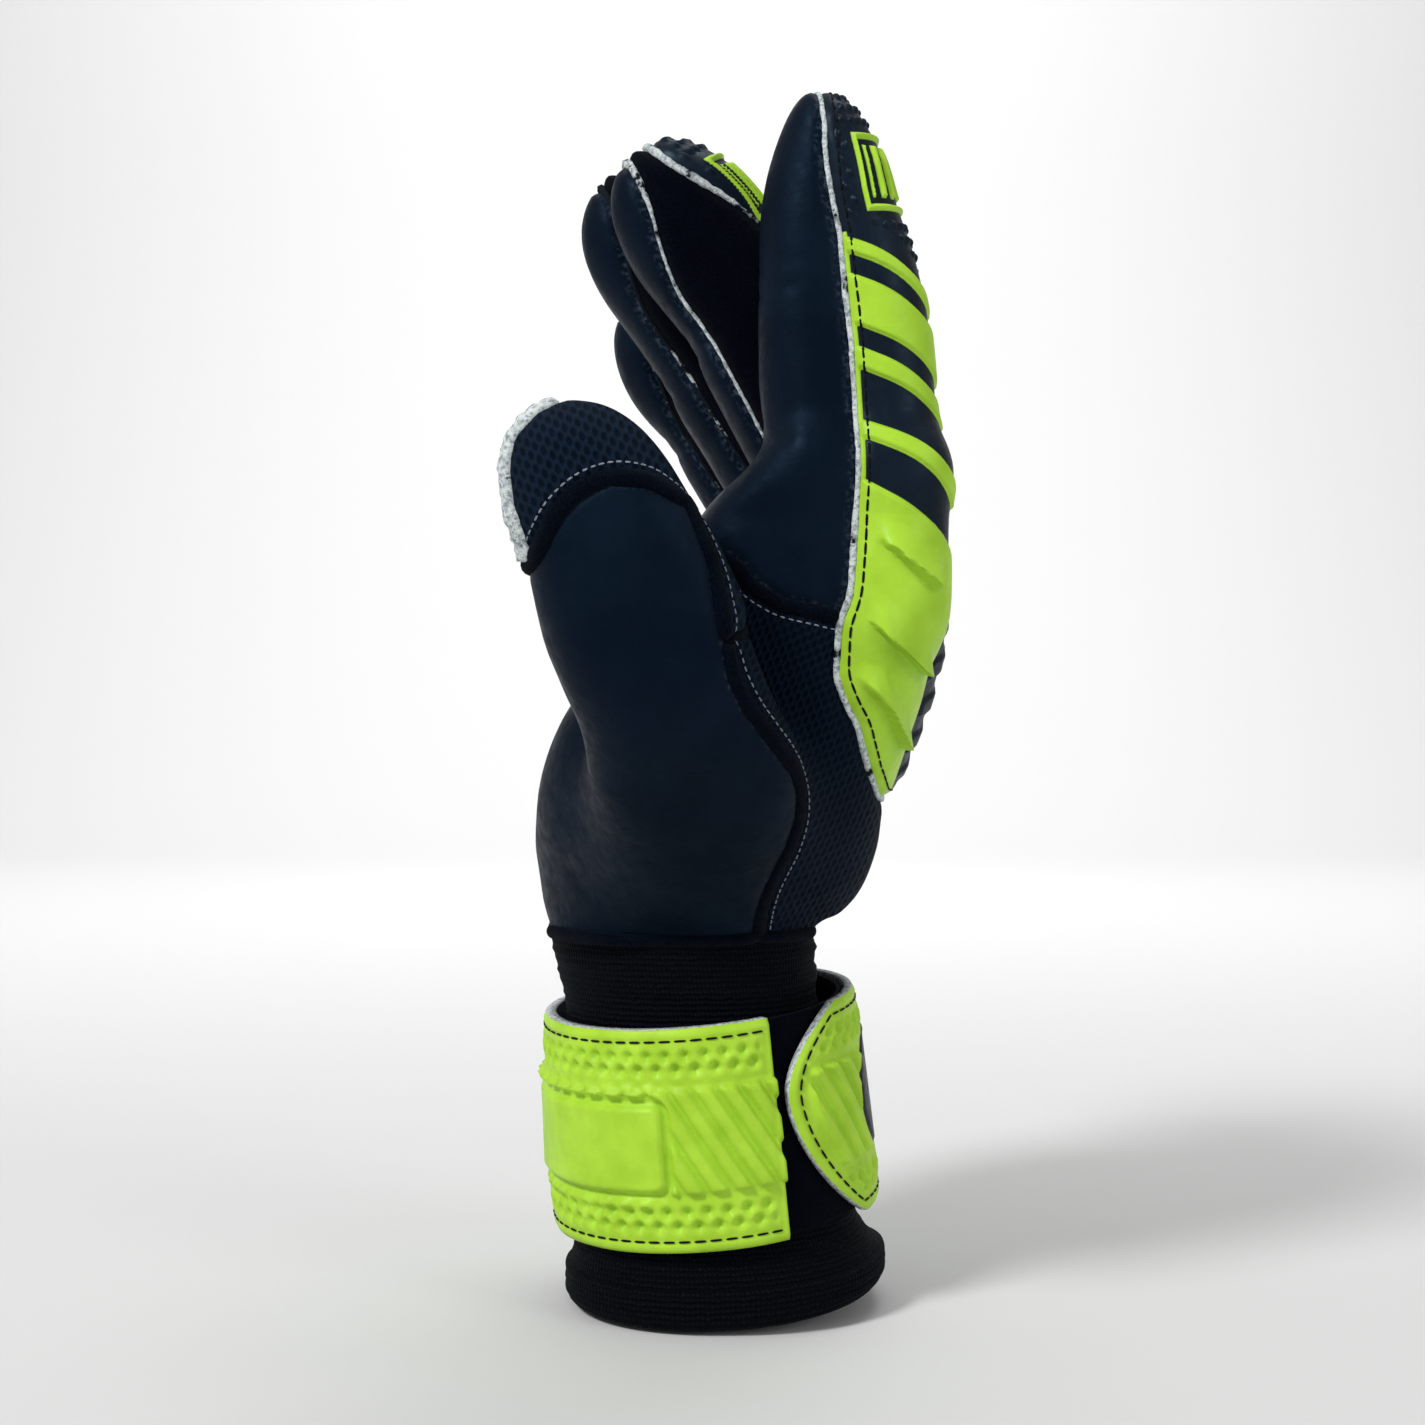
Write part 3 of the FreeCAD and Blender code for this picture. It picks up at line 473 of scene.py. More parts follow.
def zone_of(p):
    """The zone that each point lies in."""
    level, thumb_level = zone_fields(p)
    number = finger_number(p)
    zone = np.where(level > -BEND_BELOW, FIRST_BASE + number, HAND)
    zone = np.where(level > BEND_ABOVE, FIRST_TIP + number, zone)
    on_thumb = np.where(thumb_level > THUMB_START, THUMB_LOW, HAND)
    on_thumb = np.where(thumb_level > THUMB_SPLIT, THUMB_TIP, on_thumb)
    return np.where(on_thumb_side(p), on_thumb, zone)


PALM, BACK, SIDE, LITTLE_SIDE, GUSSET, THUMB_MESH, THUMB_PAD = range(7)
OPEN = 90                                # stands for no panel, on the far side of the wrist's cut edge
FAR = -9.0                               # a distance, in millimetres, that stands for nowhere near
CLEAR = 6.0                              # how far from a seam the trims and the strap say they are
LABELS = ("palm", "back", "side_mesh", "little_mesh", "gusset", "thumb_mesh", "thumb_pad")


def narrow(s, f):
    """The gusset narrows towards the fingertip."""
    return 1 - 0.75 * ramp(s, f["reach"] + f["tip"] - 36, f["reach"] + f["tip"] - 2)


def seam_fields(p):
    """For each point, its distance from the back panel's edge, the palm's edge on a gusset, the thumb
    wrap's edge, the index latex's lower edge, the thumb's arc and pad edge, and the mesh's palm edge."""
    number = finger_number(p)
    back = swing(p) - np.interp(p[:, 2], *BACK_EDGE)
    palm = np.full(len(p), FAR)
    for i, f in enumerate(FINGERS.values()):
        here = number == i
        if not here.any():
            continue
        s, v = along_across(p[here], f)
        width = narrow(s, f)
        outer = np.zeros(here.sum(), bool)
        b = v - 12.5 * width
        q = v + 13.0 * width
        if i == 0:
            outer = p[here, 1] < f["y"]
            b = np.where(outer, back[here], b)
            q = np.where(outer, FAR, q)
        if i == 3:
            outer = p[here, 1] > f["y"]
            b = np.where(outer, v + 2.0, b)
            q = np.where(outer, FAR, q)
        level = base_level(p[here], f)
        high = level > -24
        inner = high & ~outer
        keep_back = back[here]
        blend_in = ramp(level, -24, -9)
        side_back = np.where(outer & (i == 3), keep_back * (1 - blend_in) + b * blend_in, b)
        web = abs(np.abs(p[here, 1] - f["y"]) - f["width"] / 2) < 6
        use = (high & web) | (level > -BEND_BELOW)
        palm[here] = np.where(use & inner, q, FAR)
        back[here] = np.where(use & inner, b, np.where(outer & high, side_back, keep_back))
    far_side = ramp(p[:, 1] - np.interp(p[:, 2], *THUMB_CENTRE), -1, 8) * ramp(p[:, 2], 140, 150)
    wrap = p[:, 0] - np.interp(p[:, 2], *WRAP_EDGE) * (1 - far_side) + 21.0 * far_side
    bound = p[:, 2] - np.interp(p[:, 0], *BOUND_EDGE)
    arc = p[:, 2] - np.interp(p[:, 0], *THUMB_ARC)
    pad = p[:, 0] - np.interp(p[:, 2], *PAD_EDGE)
    little = swing(p) - 6.0
    return back, palm, wrap, bound, arc, pad, little


def label_of(p):
    """The panel and the zone of each point."""
    back, palm, wrap, bound, arc, pad, little = seam_fields(p)
    zone = zone_of(p)
    thumb = zone >= THUMB_LOW
    near = p[:, 1] < MESH_SEAM_Y
    side = (zone == HAND) & (back < 0) & (bound < 0) & near & (wrap > 0)
    other = (zone == HAND) & (back < 0) & (little > 0) & ~near & (p[:, 2] < LITTLE_MESH_TOP)
    rules = [thumb & (arc > 0) & (pad < 0), thumb & ((arc > 0) | (wrap > 0)), thumb,
             (palm > 0) & (back < 0), back > 0, other, side]
    return np.select(rules, [THUMB_PAD, THUMB_MESH, PALM, GUSSET, BACK, LITTLE_SIDE, SIDE], PALM), zone


def build_skin():
    """The cut surface: vertices, triangles, and each triangle's panel label and zone."""
    verts, tris = surface_net(glove, np.array([-53.0, -92.0, 80.0]), np.array([52.0, 60.0, 272.0]), FINE)
    verts = settle(verts, 2)[0]
    verts = relax(verts, tris)

    for shift, thumb_shift in ((BEND_BELOW, THUMB_START), (-BEND_ABOVE, THUMB_SPLIT)):
        verts, tris = cut(verts, tris, zone_fields(verts)[0] + shift, ~on_thumb_side(verts))
        verts, tris = cut(verts, tris, zone_fields(verts)[1] - thumb_shift, on_thumb_side(verts))
    for number in range(7):
        zone = zone_of(verts)
        thumb = zone >= THUMB_LOW
        near = verts[:, 1] < MESH_SEAM_Y
        on_thumb = thumb | (verts[:, 1] < -50)
        little = (verts[:, 1] > MESH_SEAM_Y - 2) & (verts[:, 2] < LITTLE_MESH_TOP + 4)
        mask = (~thumb, ~thumb, ((zone == HAND) | thumb) & near, (zone == HAND) & near, on_thumb, on_thumb,
                little)[number]
        verts, tris = cut(verts, tris, seam_fields(verts)[number], mask)
    verts, tris = cut(verts, tris, verts[:, 1] - MESH_SEAM_Y, verts[:, 2] < LITTLE_MESH_TOP + 4)
    verts, tris = cut(verts, tris, verts[:, 2] - LITTLE_MESH_TOP, verts[:, 1] > 20)
    verts, tris = cut(verts, tris, verts[:, 2] - WRIST_CUT)
    tris = tris[verts[tris].mean(1)[:, 2] > WRIST_CUT]
    tris = tris[np.linalg.norm(face_normals(verts, tris), axis=1) > 1e-5]
    used, tris = np.unique(tris, return_inverse=True)
    verts, tris = verts[used], tris.reshape(-1, 3)
    label, zone = label_of(verts[tris].mean(1))
    return verts, tris, label, zone


def clean_labels(tris, label, zone, rounds=4):
    """Gives lone triangles the label that two or more of their neighbours share."""
    edges, side = edges_of(tris)
    first, second = owners_of(edges, side).T
    second = np.where(second < 0, first, second)
    other = np.where(first[side] == np.arange(len(tris))[:, None], second[side], first[side])
    for _ in range(rounds):
        for values in (label, zone):
            near = values[other]
            a, b, c = near.T
            best = np.where((a == b) | (a == c), a, np.where(b == c, b, values))
            lone = (near != values[:, None]).sum(1) >= 2
            values[:] = np.where(lone, best, values)
    return label, zone


# ---------------------------------------------------------------------------------------------------
# Materials

class Finish:
    """A material under construction, with short names for the nodes that the glove's finishes use."""

    def __init__(self, name, roughness, sheen=0.0, specular=0.5, gloss=(1.0, 1.0, 1.0)):
        self.material = bpy.data.materials.new(name)
        self.material.use_nodes = True
        self.tree = self.material.node_tree
        self.shader = self.tree.nodes["Principled BSDF"]
        self.shader.inputs["Roughness"].default_value = roughness
        self.shader.inputs["Sheen Weight"].default_value = sheen
        self.shader.inputs["Sheen Roughness"].default_value = 0.4
        self.shader.inputs["Specular IOR Level"].default_value = specular
        self.shader.inputs["Specular Tint"].default_value = (*gloss, 1)

    def node(self, kind, **settings):
        made = self.tree.nodes.new(kind)
        for key, value in settings.items():
            setattr(made, key, value)
        return made

    def link(self, a, b):
        self.tree.links.new(a, b)

    def attribute(self, name, output="Vector"):
        return self.node("ShaderNodeAttribute", attribute_name=name).outputs[output]

    def noise(self, scale, detail=3.0, at="rest"):
        made = self.node("ShaderNodeTexNoise")
        made.inputs["Scale"].default_value = scale
        made.inputs["Detail"].default_value = detail
        self.link(self.attribute(at), made.inputs["Vector"])
        return made.outputs["Fac"]

    def maths(self, operation, a, b=None, c=None, clamp=False):
        made = self.node("ShaderNodeMath", operation=operation, use_clamp=clamp)
        for value, socket in zip((a, b, c), made.inputs):
            if value is None:
                continue
            if isinstance(value, (int, float)):
                socket.default_value = value
            else:
                self.link(value, socket)
        return made.outputs[0]

    def remap(self, value, low, high, to_low=0.0, to_high=1.0):
        made = self.node("ShaderNodeMapRange", clamp=True)
        self.link(value, made.inputs["Value"])
        for key, number in (("From Min", low), ("From Max", high), ("To Min", to_low), ("To Max", to_high)):
            made.inputs[key].default_value = number
        return made.outputs["Result"]

    def split(self, at="cloth"):
        made = self.node("ShaderNodeSeparateXYZ")
        self.link(self.attribute(at), made.inputs[0])
        return made.outputs

    def mix(self, factor, low, high):
        made = self.node("ShaderNodeMix", data_type="RGBA")
        self.link(factor, made.inputs[0])
        for value, socket in ((low, made.inputs[6]), (high, made.inputs[7])):
            if isinstance(value, tuple):
                socket.default_value = (*value, 1)
            else:
                self.link(value, socket)
        return made.outputs[2]

    def colour(self, value):
        self.link(value, self.shader.inputs["Base Color"])

    def rough(self, value):
        self.link(value, self.shader.inputs["Roughness"])

    def bump(self, height, depth_mm, strength=1.0):
        made = self.node("ShaderNodeBump")
        made.inputs["Distance"].default_value = depth_mm * MM
        made.inputs["Strength"].default_value = strength
        self.link(height, made.inputs["Height"])
        self.link(made.outputs["Normal"], self.shader.inputs["Normal"])


NAVY_LOW, NAVY_HIGH = (0.0012, 0.0034, 0.0085), (0.0030, 0.0070, 0.0150)
NAVY_GLOSS = (0.30, 0.60, 1.0)
NEON_LOW, NEON_HIGH = (0.330, 0.570, 0.024), (0.410, 0.690, 0.042)
FOAM_LOW, FOAM_HIGH = (0.52, 0.58, 0.58), (0.86, 0.90, 0.89)


def latex_finish(name, gloss=0.46, low=NAVY_LOW, high=NAVY_HIGH):
    """Smooth foam latex: a skin with a fine pore grain, greyer where it rubs at the seams."""
    m = Finish(name, gloss, specular=0.09, gloss=NAVY_GLOSS)
    edge = m.split()[2]
    cloud = m.noise(0.05, 4.0)
    body = m.mix(m.remap(cloud, 0.32, 0.68), low, high)
    worn = m.remap(edge, 0.6, 2.6, 1.0, 0.0)
    rub = m.maths("MULTIPLY", worn, m.remap(m.noise(0.9, 5.0), 0.48, 0.72), clamp=True)
    m.colour(m.mix(m.maths("MULTIPLY", rub, 0.5), body, (0.10, 0.13, 0.17)))
    m.rough(m.remap(m.noise(0.35, 5.0), 0.3, 0.7, gloss - 0.07, gloss + 0.12))
    pores = m.noise(3.2, 3.0)
    soft = m.noise(0.22, 3.0)
    m.bump(m.maths("ADD", m.maths("MULTIPLY", pores, 0.16), soft), 0.42, 0.55)
    return m.material


def back_finish():
    """Embossed latex of the back: navy with neon areas, told apart by the tone attribute, in millimetres."""
    m = Finish("glove_back_latex", 0.42, specular=0.20, gloss=(0.5, 0.75, 1.0))
    edge = m.split()[2]
    tone = m.attribute("tone", "Fac")
    neon = m.mix(m.remap(m.noise(0.12, 4.0), 0.3, 0.7), NEON_LOW, NEON_HIGH)
    worn = m.remap(edge, 0.4, 2.2, 1.0, 0.0)
    dull = m.maths("MULTIPLY", worn, m.remap(m.noise(1.4, 4.0), 0.5, 0.75), clamp=True)
    neon = m.mix(m.maths("MULTIPLY", dull, 0.35), neon, (0.36, 0.55, 0.05))
    navy = m.mix(m.remap(m.noise(0.09, 4.0), 0.3, 0.7), NAVY_LOW, NAVY_HIGH)
    m.colour(m.mix(m.remap(tone, -0.10, 0.10), navy, neon))
    m.rough(m.remap(m.noise(0.5, 4.0), 0.3, 0.7, 0.36, 0.52))
    m.bump(m.maths("ADD", m.maths("MULTIPLY", m.noise(4.0, 3.0), 0.2), m.noise(0.5, 3.0)), 0.16, 0.6)
    return m.material


def neon_finish():
    """Embossed neon latex of the strap, navy where its tone is above zero."""
    m = Finish("glove_neon_latex", 0.43, specular=0.22)
    tone = m.attribute("tone", "Fac")
    neon = m.mix(m.remap(m.noise(0.14, 4.0), 0.3, 0.7), NEON_LOW, NEON_HIGH)
    navy = m.mix(m.noise(0.4, 4.0), NAVY_LOW, NAVY_HIGH)
    m.colour(m.mix(m.remap(tone, -0.12, 0.12), neon, navy))
    m.rough(m.remap(m.noise(0.5, 4.0), 0.3, 0.7, 0.36, 0.54))
    m.bump(m.maths("ADD", m.maths("MULTIPLY", m.noise(3.6, 3.0), 0.25), m.noise(0.6, 3.0)), 0.18, 0.6)
    return m.material


def mesh_finish(name, pitch=1.15, low=(0.0006, 0.0010, 0.0028), high=(0.0030, 0.0058, 0.0135)):
    """Warp-knitted sports mesh: small cells in staggered rows, with painted shade darkening each sunken cell.
    """
    m = Finish(name, 0.78, specular=0.10, gloss=NAVY_GLOSS)
    u, v = m.split()[:2]
    wave = 2 * math.pi / pitch
    total = None
    for du, dv in ((1.0, 0.0), (0.5, 0.46), (0.5, -0.46)):
        phase = m.maths("ADD", m.maths("MULTIPLY", u, wave * du), m.maths("MULTIPLY", v, wave * dv))
        ray = m.maths("COSINE", phase)
        total = ray if total is None else m.maths("ADD", total, ray)
    cell = m.remap(total, -1.2, 1.8)
    # the darker colour inside each sunken cell is painted shade
    m.colour(m.mix(m.maths("MULTIPLY", cell, m.remap(m.noise(0.4, 3.0), 0.2, 0.8, 0.7, 1.0)), high, low))
    m.bump(m.maths("SUBTRACT", m.maths("MULTIPLY", m.noise(3.0, 3.0), 0.25), cell), 0.45, 0.9)
    return m.material


def knit_finish():
    """Elastic knit of the cuff: fine level courses crossed by narrow wales, with paler fibres only on the
    raised crests, a painted highlight that is patchy with noise.
    """
    m = Finish("cuff_elastic_knit", 0.82, specular=0.08, gloss=(0.6, 0.8, 1.0))
    u, v = m.split()[:2]
    wander = m.maths("MULTIPLY", m.noise(0.5, 2.0), 0.9)
    course = m.maths("SINE", m.maths("MULTIPLY", m.maths("ADD", v, wander), 2 * math.pi / 1.25))
    wale = m.maths("SINE", m.maths("MULTIPLY", u, 2 * math.pi / 0.95))
    height = m.maths("ADD", course, m.maths("MULTIPLY", wale, 0.55))
    # paler fibres only on the raised crests: painted highlight, patchy with noise
    pale_fibre_and_highlight = m.maths("MULTIPLY", m.remap(height, 0.2, 1.5), m.remap(m.noise(1.6, 4.0), 0.35, 0.7))
    m.colour(m.mix(pale_fibre_and_highlight, (0.0006, 0.0007, 0.0014), (0.0060, 0.0068, 0.0100)))
    m.bump(m.maths("ADD", height, m.maths("MULTIPLY", m.noise(3.0, 3.0), 0.8)), 0.20, 0.9)
    return m.material


def fleece_finish(name, low=(0.0005, 0.0006, 0.0022), high=(0.0030, 0.0036, 0.0085)):
    """Brushed fabric: a short pile with no pattern, and a soft sheen."""
    m = Finish(name, 0.92, sheen=0.02, specular=0.05, gloss=NAVY_GLOSS)
    pile = m.noise(2.6, 5.0)
    patch = m.remap(m.noise(0.25, 3.0), 0.3, 0.7, 0.5, 1.0)
    m.colour(m.mix(m.maths("MULTIPLY", m.remap(pile, 0.35, 0.7), patch), low, high))
    m.bump(m.maths("ADD", pile, m.noise(6.0, 2.0)), 0.35, 0.8)
    return m.material


def foam_finish(name, bare):
    """Cut foam edge: off-white, torn and a little dirty, with the dark skin still on it in places. bare is
    the share of the noise range that shows foam."""
    m = Finish(name, 0.9, specular=0.1)
    tear = m.noise(1.1, 6.0)
    foam = m.mix(m.remap(tear, 0.34, 0.56), (0.24, 0.29, 0.32), m.mix(m.noise(0.6, 3.0), FOAM_LOW, FOAM_HIGH))
    patch = m.maths("ADD", m.noise(0.16, 2.0), m.maths("MULTIPLY", tear, 0.35))
    skin_left = m.remap(patch, bare, bare + 0.06)
    m.colour(m.mix(skin_left, foam, (0.006, 0.009, 0.015)))
    m.bump(m.maths("ADD", tear, m.noise(3.5, 3.0)), 0.5, 0.9)
    return m.material


def thread_finish(name, low, high, sheen, specular):
    """Twisted sewing thread, lighter on the twist's crests and darker in its grooves: painted highlight and
    painted shade.
    """
    m = Finish(name, 0.6, sheen=sheen, specular=specular)
    u, v = m.split()[:2]
    twist_relief_and_shade = m.maths("SINE", m.maths("MULTIPLY", m.maths("ADD", u, v), 2 * math.pi / 0.45))
    # lighter on the twist's crests and darker in its grooves: painted highlight and painted shade
    m.colour(m.mix(m.remap(twist_relief_and_shade, -1.0, 1.0), low, high))
    m.bump(twist_relief_and_shade, 0.08, 0.8)
    return m.material


def inner_finish(name, roughness, specular, scale, low, high, depth):
    """An inner part that keeps its CAD shape, seen only through an opening: grain in its own coordinates."""
    m = Finish(name, roughness, specular=specular)
    coordinates = m.node("ShaderNodeTexCoord").outputs["Object"]
    grain = m.node("ShaderNodeTexNoise")
    grain.inputs["Scale"].default_value = scale
    grain.inputs["Detail"].default_value = 5.0
    m.link(coordinates, grain.inputs["Vector"])
    m.colour(m.mix(grain.outputs["Fac"], low, high))
    m.bump(grain.outputs["Fac"], depth, 0.6)
    return m.material


LATEX = latex_finish("palm_foam_latex")
BACK_LATEX = back_finish()
NEON = neon_finish()
SIDE_MESH = mesh_finish("side_panel_mesh")
THUMB_CELLS = mesh_finish("thumb_mesh", 1.30, (0.0008, 0.0016, 0.0045), (0.0052, 0.0105, 0.0225))
FLEECE = fleece_finish("gusset_fleece")
LOOP = fleece_finish("strap_loop_pile", (0.0004, 0.0004, 0.0016), (0.0024, 0.0026, 0.0070))
KNIT = knit_finish()
FOAM = foam_finish("cut_foam_edge", 0.78)
THUMB_FOAM = foam_finish("thumb_foam_edge", 0.86)
THIN = foam_finish("thin_foam_edge", 0.72)
WORN = foam_finish("worn_foam_edge", 0.50)
STRAP_FOAM = foam_finish("strap_foam_edge", 0.98)
BLACK_THREAD = thread_finish("black_thread", (0.0010, 0.0012, 0.0018), (0.0055, 0.0070, 0.0090), 0.02, 0.10)
WHITE_THREAD = thread_finish("white_thread", (0.12, 0.15, 0.19), (0.34, 0.38, 0.43), 0.2, 0.3)
ROLL = fleece_finish("bound_edge", (0.0006, 0.0010, 0.0026), (0.0036, 0.0058, 0.0120))
PIPING = latex_finish("grey_piping", 0.5, (0.10, 0.13, 0.15), (0.22, 0.27, 0.28))
HOOKS = fleece_finish("hook_tape", (0.004, 0.004, 0.005), (0.018, 0.018, 0.020))
SPINE = inner_finish("moulded_spine_plastic", 0.5, 0.4, 900.0,
                     (0.020, 0.021, 0.023), (0.045, 0.046, 0.050), 0.1)
PAD_FOAM = inner_finish("backhand_pad_foam", 0.9, 0.1, 450.0, (0.30, 0.31, 0.30), (0.52, 0.53, 0.50), 0.35)


# ---------------------------------------------------------------------------------------------------
# Pieces

for number, (name, f) in enumerate(FINGERS.items()):
    lean = np.array([f["lean"][0], 0, f["lean"][1]])
    along, line_x, line_z, angle = f["line"]
    at = int(np.argmin(abs(along - f["reach"])))
ZONE_NAMES = ["hand", *(n + "_base" for n in NAMES), *(n + "_tip" for n in NAMES), "thumb_low", "thumb_tip"]


def follow(piece, zone):
    """The piece rides on the hand; a piece of any other zone only has its placement baked into its points."""
    if zone == HAND:
        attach(piece, "hand")
    else:
        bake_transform(piece)


def grid_faces(rows, columns, closed_rows=False, closed_columns=True):
    """Quads between the rows of a grid of points."""
    faces = []
    for r in range(rows if closed_rows else rows - 1):
        for c in range(columns if closed_columns else columns - 1):
            r2, c2 = (r + 1) % rows, (c + 1) % columns
            faces.append([r * columns + c, r * columns + c2, r2 * columns + c2, r2 * columns + c])
    return faces


def make(name, verts, faces, material, normals=None, **extra):
    """A smooth mesh object from millimetre coordinates. extra holds point attributes."""
    mesh = bpy.data.meshes.new(name)
    mesh.from_pydata((np.asarray(verts) * MM).tolist(), [], np.asarray(faces).tolist())
    mesh.update()
    mesh.polygons.foreach_set("use_smooth", np.ones(len(mesh.polygons), bool))
    for key, value in {"rest": verts, **extra}.items():
        value = np.asarray(value, np.float32)
        vector = value.ndim == 2
        made = mesh.attributes.new(key, "FLOAT_VECTOR" if vector else "FLOAT", "POINT")
        made.data.foreach_set("vector" if vector else "value", value.ravel())
    if normals is not None:
        mesh.normals_split_custom_set_from_vertices(np.asarray(normals, float).tolist())
    for one in material if isinstance(material, (list, tuple)) else [material]:
        mesh.materials.append(one)
    piece = bpy.data.objects.new(name, mesh)
    bpy.context.scene.collection.objects.link(piece)
    return piece


def search_tree(points):
    """A tree that finds the nearest points."""
    tree = KDTree(len(points))
    for i, point in enumerate(points):
        tree.insert(point, i)
    tree.balance()
    return tree


def vertex_normals(verts, tris):
    """Each point's outward direction, from the triangles round it."""
    n = np.zeros_like(verts)
    face = face_normals(verts, tris)
    for i in range(3):
        np.add.at(n, tris[:, i], face)
    return n / np.maximum(np.linalg.norm(n, axis=1), 1e-12)[:, None]


def halve(verts, tris, label, zone, chosen):
    """Splits every chosen triangle in four, and its neighbours so that no gap opens."""
    edges, side = edges_of(tris)
    marked = np.zeros(len(edges), bool)
    marked[side[chosen].ravel()] = True
    number = np.full(len(edges), -1)
    number[marked] = len(verts) + np.arange(marked.sum())
    verts = np.concatenate([verts, (verts[edges[marked, 0]] + verts[edges[marked, 1]]) / 2])
    on = number[side]
    hits = (on >= 0).sum(1)
    keep = hits == 0
    out, tags = [tris[keep]], [np.flatnonzero(keep)]
    a, b, c = tris.T
    ab, bc, ca = on.T
    full = hits == 3
    for q in ((a, ab, ca), (ab, b, bc), (ca, bc, c), (ab, bc, ca)):
        out.append(np.stack(q, 1)[full])
        tags.append(np.flatnonzero(full))
    for turn in range(3):
        a, b, c = np.roll(tris, -turn, 1).T
        ab, bc, ca = np.roll(on, -turn, 1).T
        one = (hits == 1) & (ab >= 0)
        for q in ((a, ab, c), (ab, b, c)):
            out.append(np.stack(q, 1)[one])
            tags.append(np.flatnonzero(one))
        two = (hits == 2) & (bc < 0)
        for q in ((a, ab, ca), (ab, b, c), (ab, c, ca)):
            out.append(np.stack(q, 1)[two])
            tags.append(np.flatnonzero(two))
    tags = np.concatenate(tags)
    return verts, np.concatenate(out), label[tags], zone[tags]


# ---------------------------------------------------------------------------------------------------
# Relief of the embossed back

CHEVRONS = ((41.6, 45.1), (26.8, 37.6), (17.7, 22.5), (2.2, 7.0))   # from the base hinge, along the index
CHEVRON_SLANT = 0.47
CHEVRON_LENGTH = 77.5
PANEL_TOP = -6.6
BADGE_LOW, BADGE_HIGH, BADGE_SIDE, BADGE_RIM = 49.0, 66.0, 7.2, 1.5
DOT_PITCH, DOT_RADIUS, DOT_HEIGHT = 3.3, 0.95, 0.75
RIBS = (([29, 40.7], [175.5, 168.5], [169.5, 159.4]),
        ([28, 40.3], [159.8, 151.0], [152.6, 142.6]),
        ([26.4, 32, 36.6], [145.2, 143.3, 136.2], [140.8, 135.4, 126.5]))
RIB_HEIGHT = 3.1
BACK_PAD = ([108, 118, 128, 141, 158, 170, 178], [0.0, 2.4, 3.6, 5.0, 6.6, 5.2, 0.0])   # height, rise


def panel_border(z, side):
    """Y of the edge between a side's neon panel and the black middle of the back."""
    return side * (37.5 - (171.0 - z) * 0.3)


def back_pattern(p):
    """Tone, above zero where the latex is neon, and lift, both in millimetres."""
    number = finger_number(p)
    back = seam_fields(p)[0]
    s = np.zeros(len(p))
    w = np.zeros(len(p))
    outer = np.zeros(len(p), bool)
    for i, f in enumerate(FINGERS.values()):
        here = number == i
        if not here.any():
            continue
        along = along_across(p[here], f)[0]
        half = f["width"] / 2
        off = p[here, 1] - f["y"]
        out = off < 0 if i == 0 else (off > 0 if i == 3 else np.zeros(len(off), bool))
        top = {0: 29.0, 3: 25.0}.get(i, 22.0)
        inward = top * (1 - np.clip(abs(off) / half, 0, 1) ** 1.6)
        w[here] = np.where(out, np.minimum(back[here] + 0.8 * (half - abs(off)), top), inward)
        s[here] = along * CHEVRON_LENGTH / (f["reach"] + f["tip"])
        outer[here] = out
    h = s + CHEVRON_SLANT * w
    tone = np.full(len(p), FAR)
    lift = np.zeros(len(p))
    for low, high in CHEVRONS:
        stripe = ((high - low) / 2 - abs(h - (low + high) / 2)) * 0.88
        tone = np.maximum(tone, stripe)
    margin = np.where(outer, np.minimum(1.5 - back, 45.5 - s), FAR)
    tone = np.maximum(tone, margin)
    panel = np.full(len(p), FAR)
    for side in (-1, 1):
        inside = np.minimum((p[:, 1] - panel_border(p[:, 2], side)) * side, (PANEL_TOP - h) * 0.88)
        panel = np.maximum(panel, np.where(p[:, 1] * side > 0, inside, FAR))
    tone = np.maximum(tone, panel)
    lift += 0.75 * ramp(tone, 0.0, 0.75)
    edge = np.minimum(np.minimum(w - BADGE_SIDE, BADGE_HIGH - s), s - BADGE_LOW)
    frame_band = np.minimum(edge, BADGE_RIM - edge)
    bar = 1.05 - abs((w - 12.0) % 4.2 - 2.1)
    bars = np.minimum(bar, edge - BADGE_RIM - 1.3)
    badge = np.maximum(frame_band, bars)
    tone = np.maximum(tone, badge)
    lift += 0.9 * ramp(badge, -0.1, 0.6)
    row = np.round(s / (DOT_PITCH * 0.87))
    col = (w / DOT_PITCH + 0.5 * (row % 2)) % 1.0 - 0.5
    near = np.hypot(col * DOT_PITCH, s - row * DOT_PITCH * 0.87)
    clear = ramp(-edge, 1.2, 1.9) * ramp(h, 49.5, 51.0) * ramp(back, 2.4, 3.2)
    lift += DOT_HEIGHT * np.clip(1 - (near / DOT_RADIUS) ** 2, 0, 1) ** 0.7 * clear
    x = swing(p)
    rib_area = ramp(panel, 0.6, 2.2) * (p[:, 2] < 179)
    for at, high_line, low_line in RIBS:
        high, low = np.interp(x, at, high_line), np.interp(x, at, low_line)
        q = (high - p[:, 2]) / (high - low)
        saw = np.clip(q, 0, 1) ** 1.1 * (1 - ramp(q, 0.93, 1.0))
        ends = ramp(x, at[0] - 1.0, at[0] + 3.5) * (1 - ramp(x, at[-1], at[-1] + 2.5))
        lift += RIB_HEIGHT * saw * ends * rib_area
    middle = np.minimum(*[-(p[:, 1] - panel_border(p[:, 2], side)) * side for side in (-1, 1)])
    lift += np.interp(p[:, 2], *BACK_PAD) * ramp(middle, -0.5, 12.0)
    wave = np.cos((p[:, 2] + 0.42 * abs(p[:, 1] + 1.0)) * 2 * math.pi / 9.0)
    lift += (0.8 * ramp(wave, -0.15, 0.30) * ramp(middle, 4.0, 5.5)
             * ramp(-p[:, 2], -168, -165) * ramp(p[:, 2], 119, 121))
    return tone, lift


# ---------------------------------------------------------------------------------------------------
# The skin's pieces

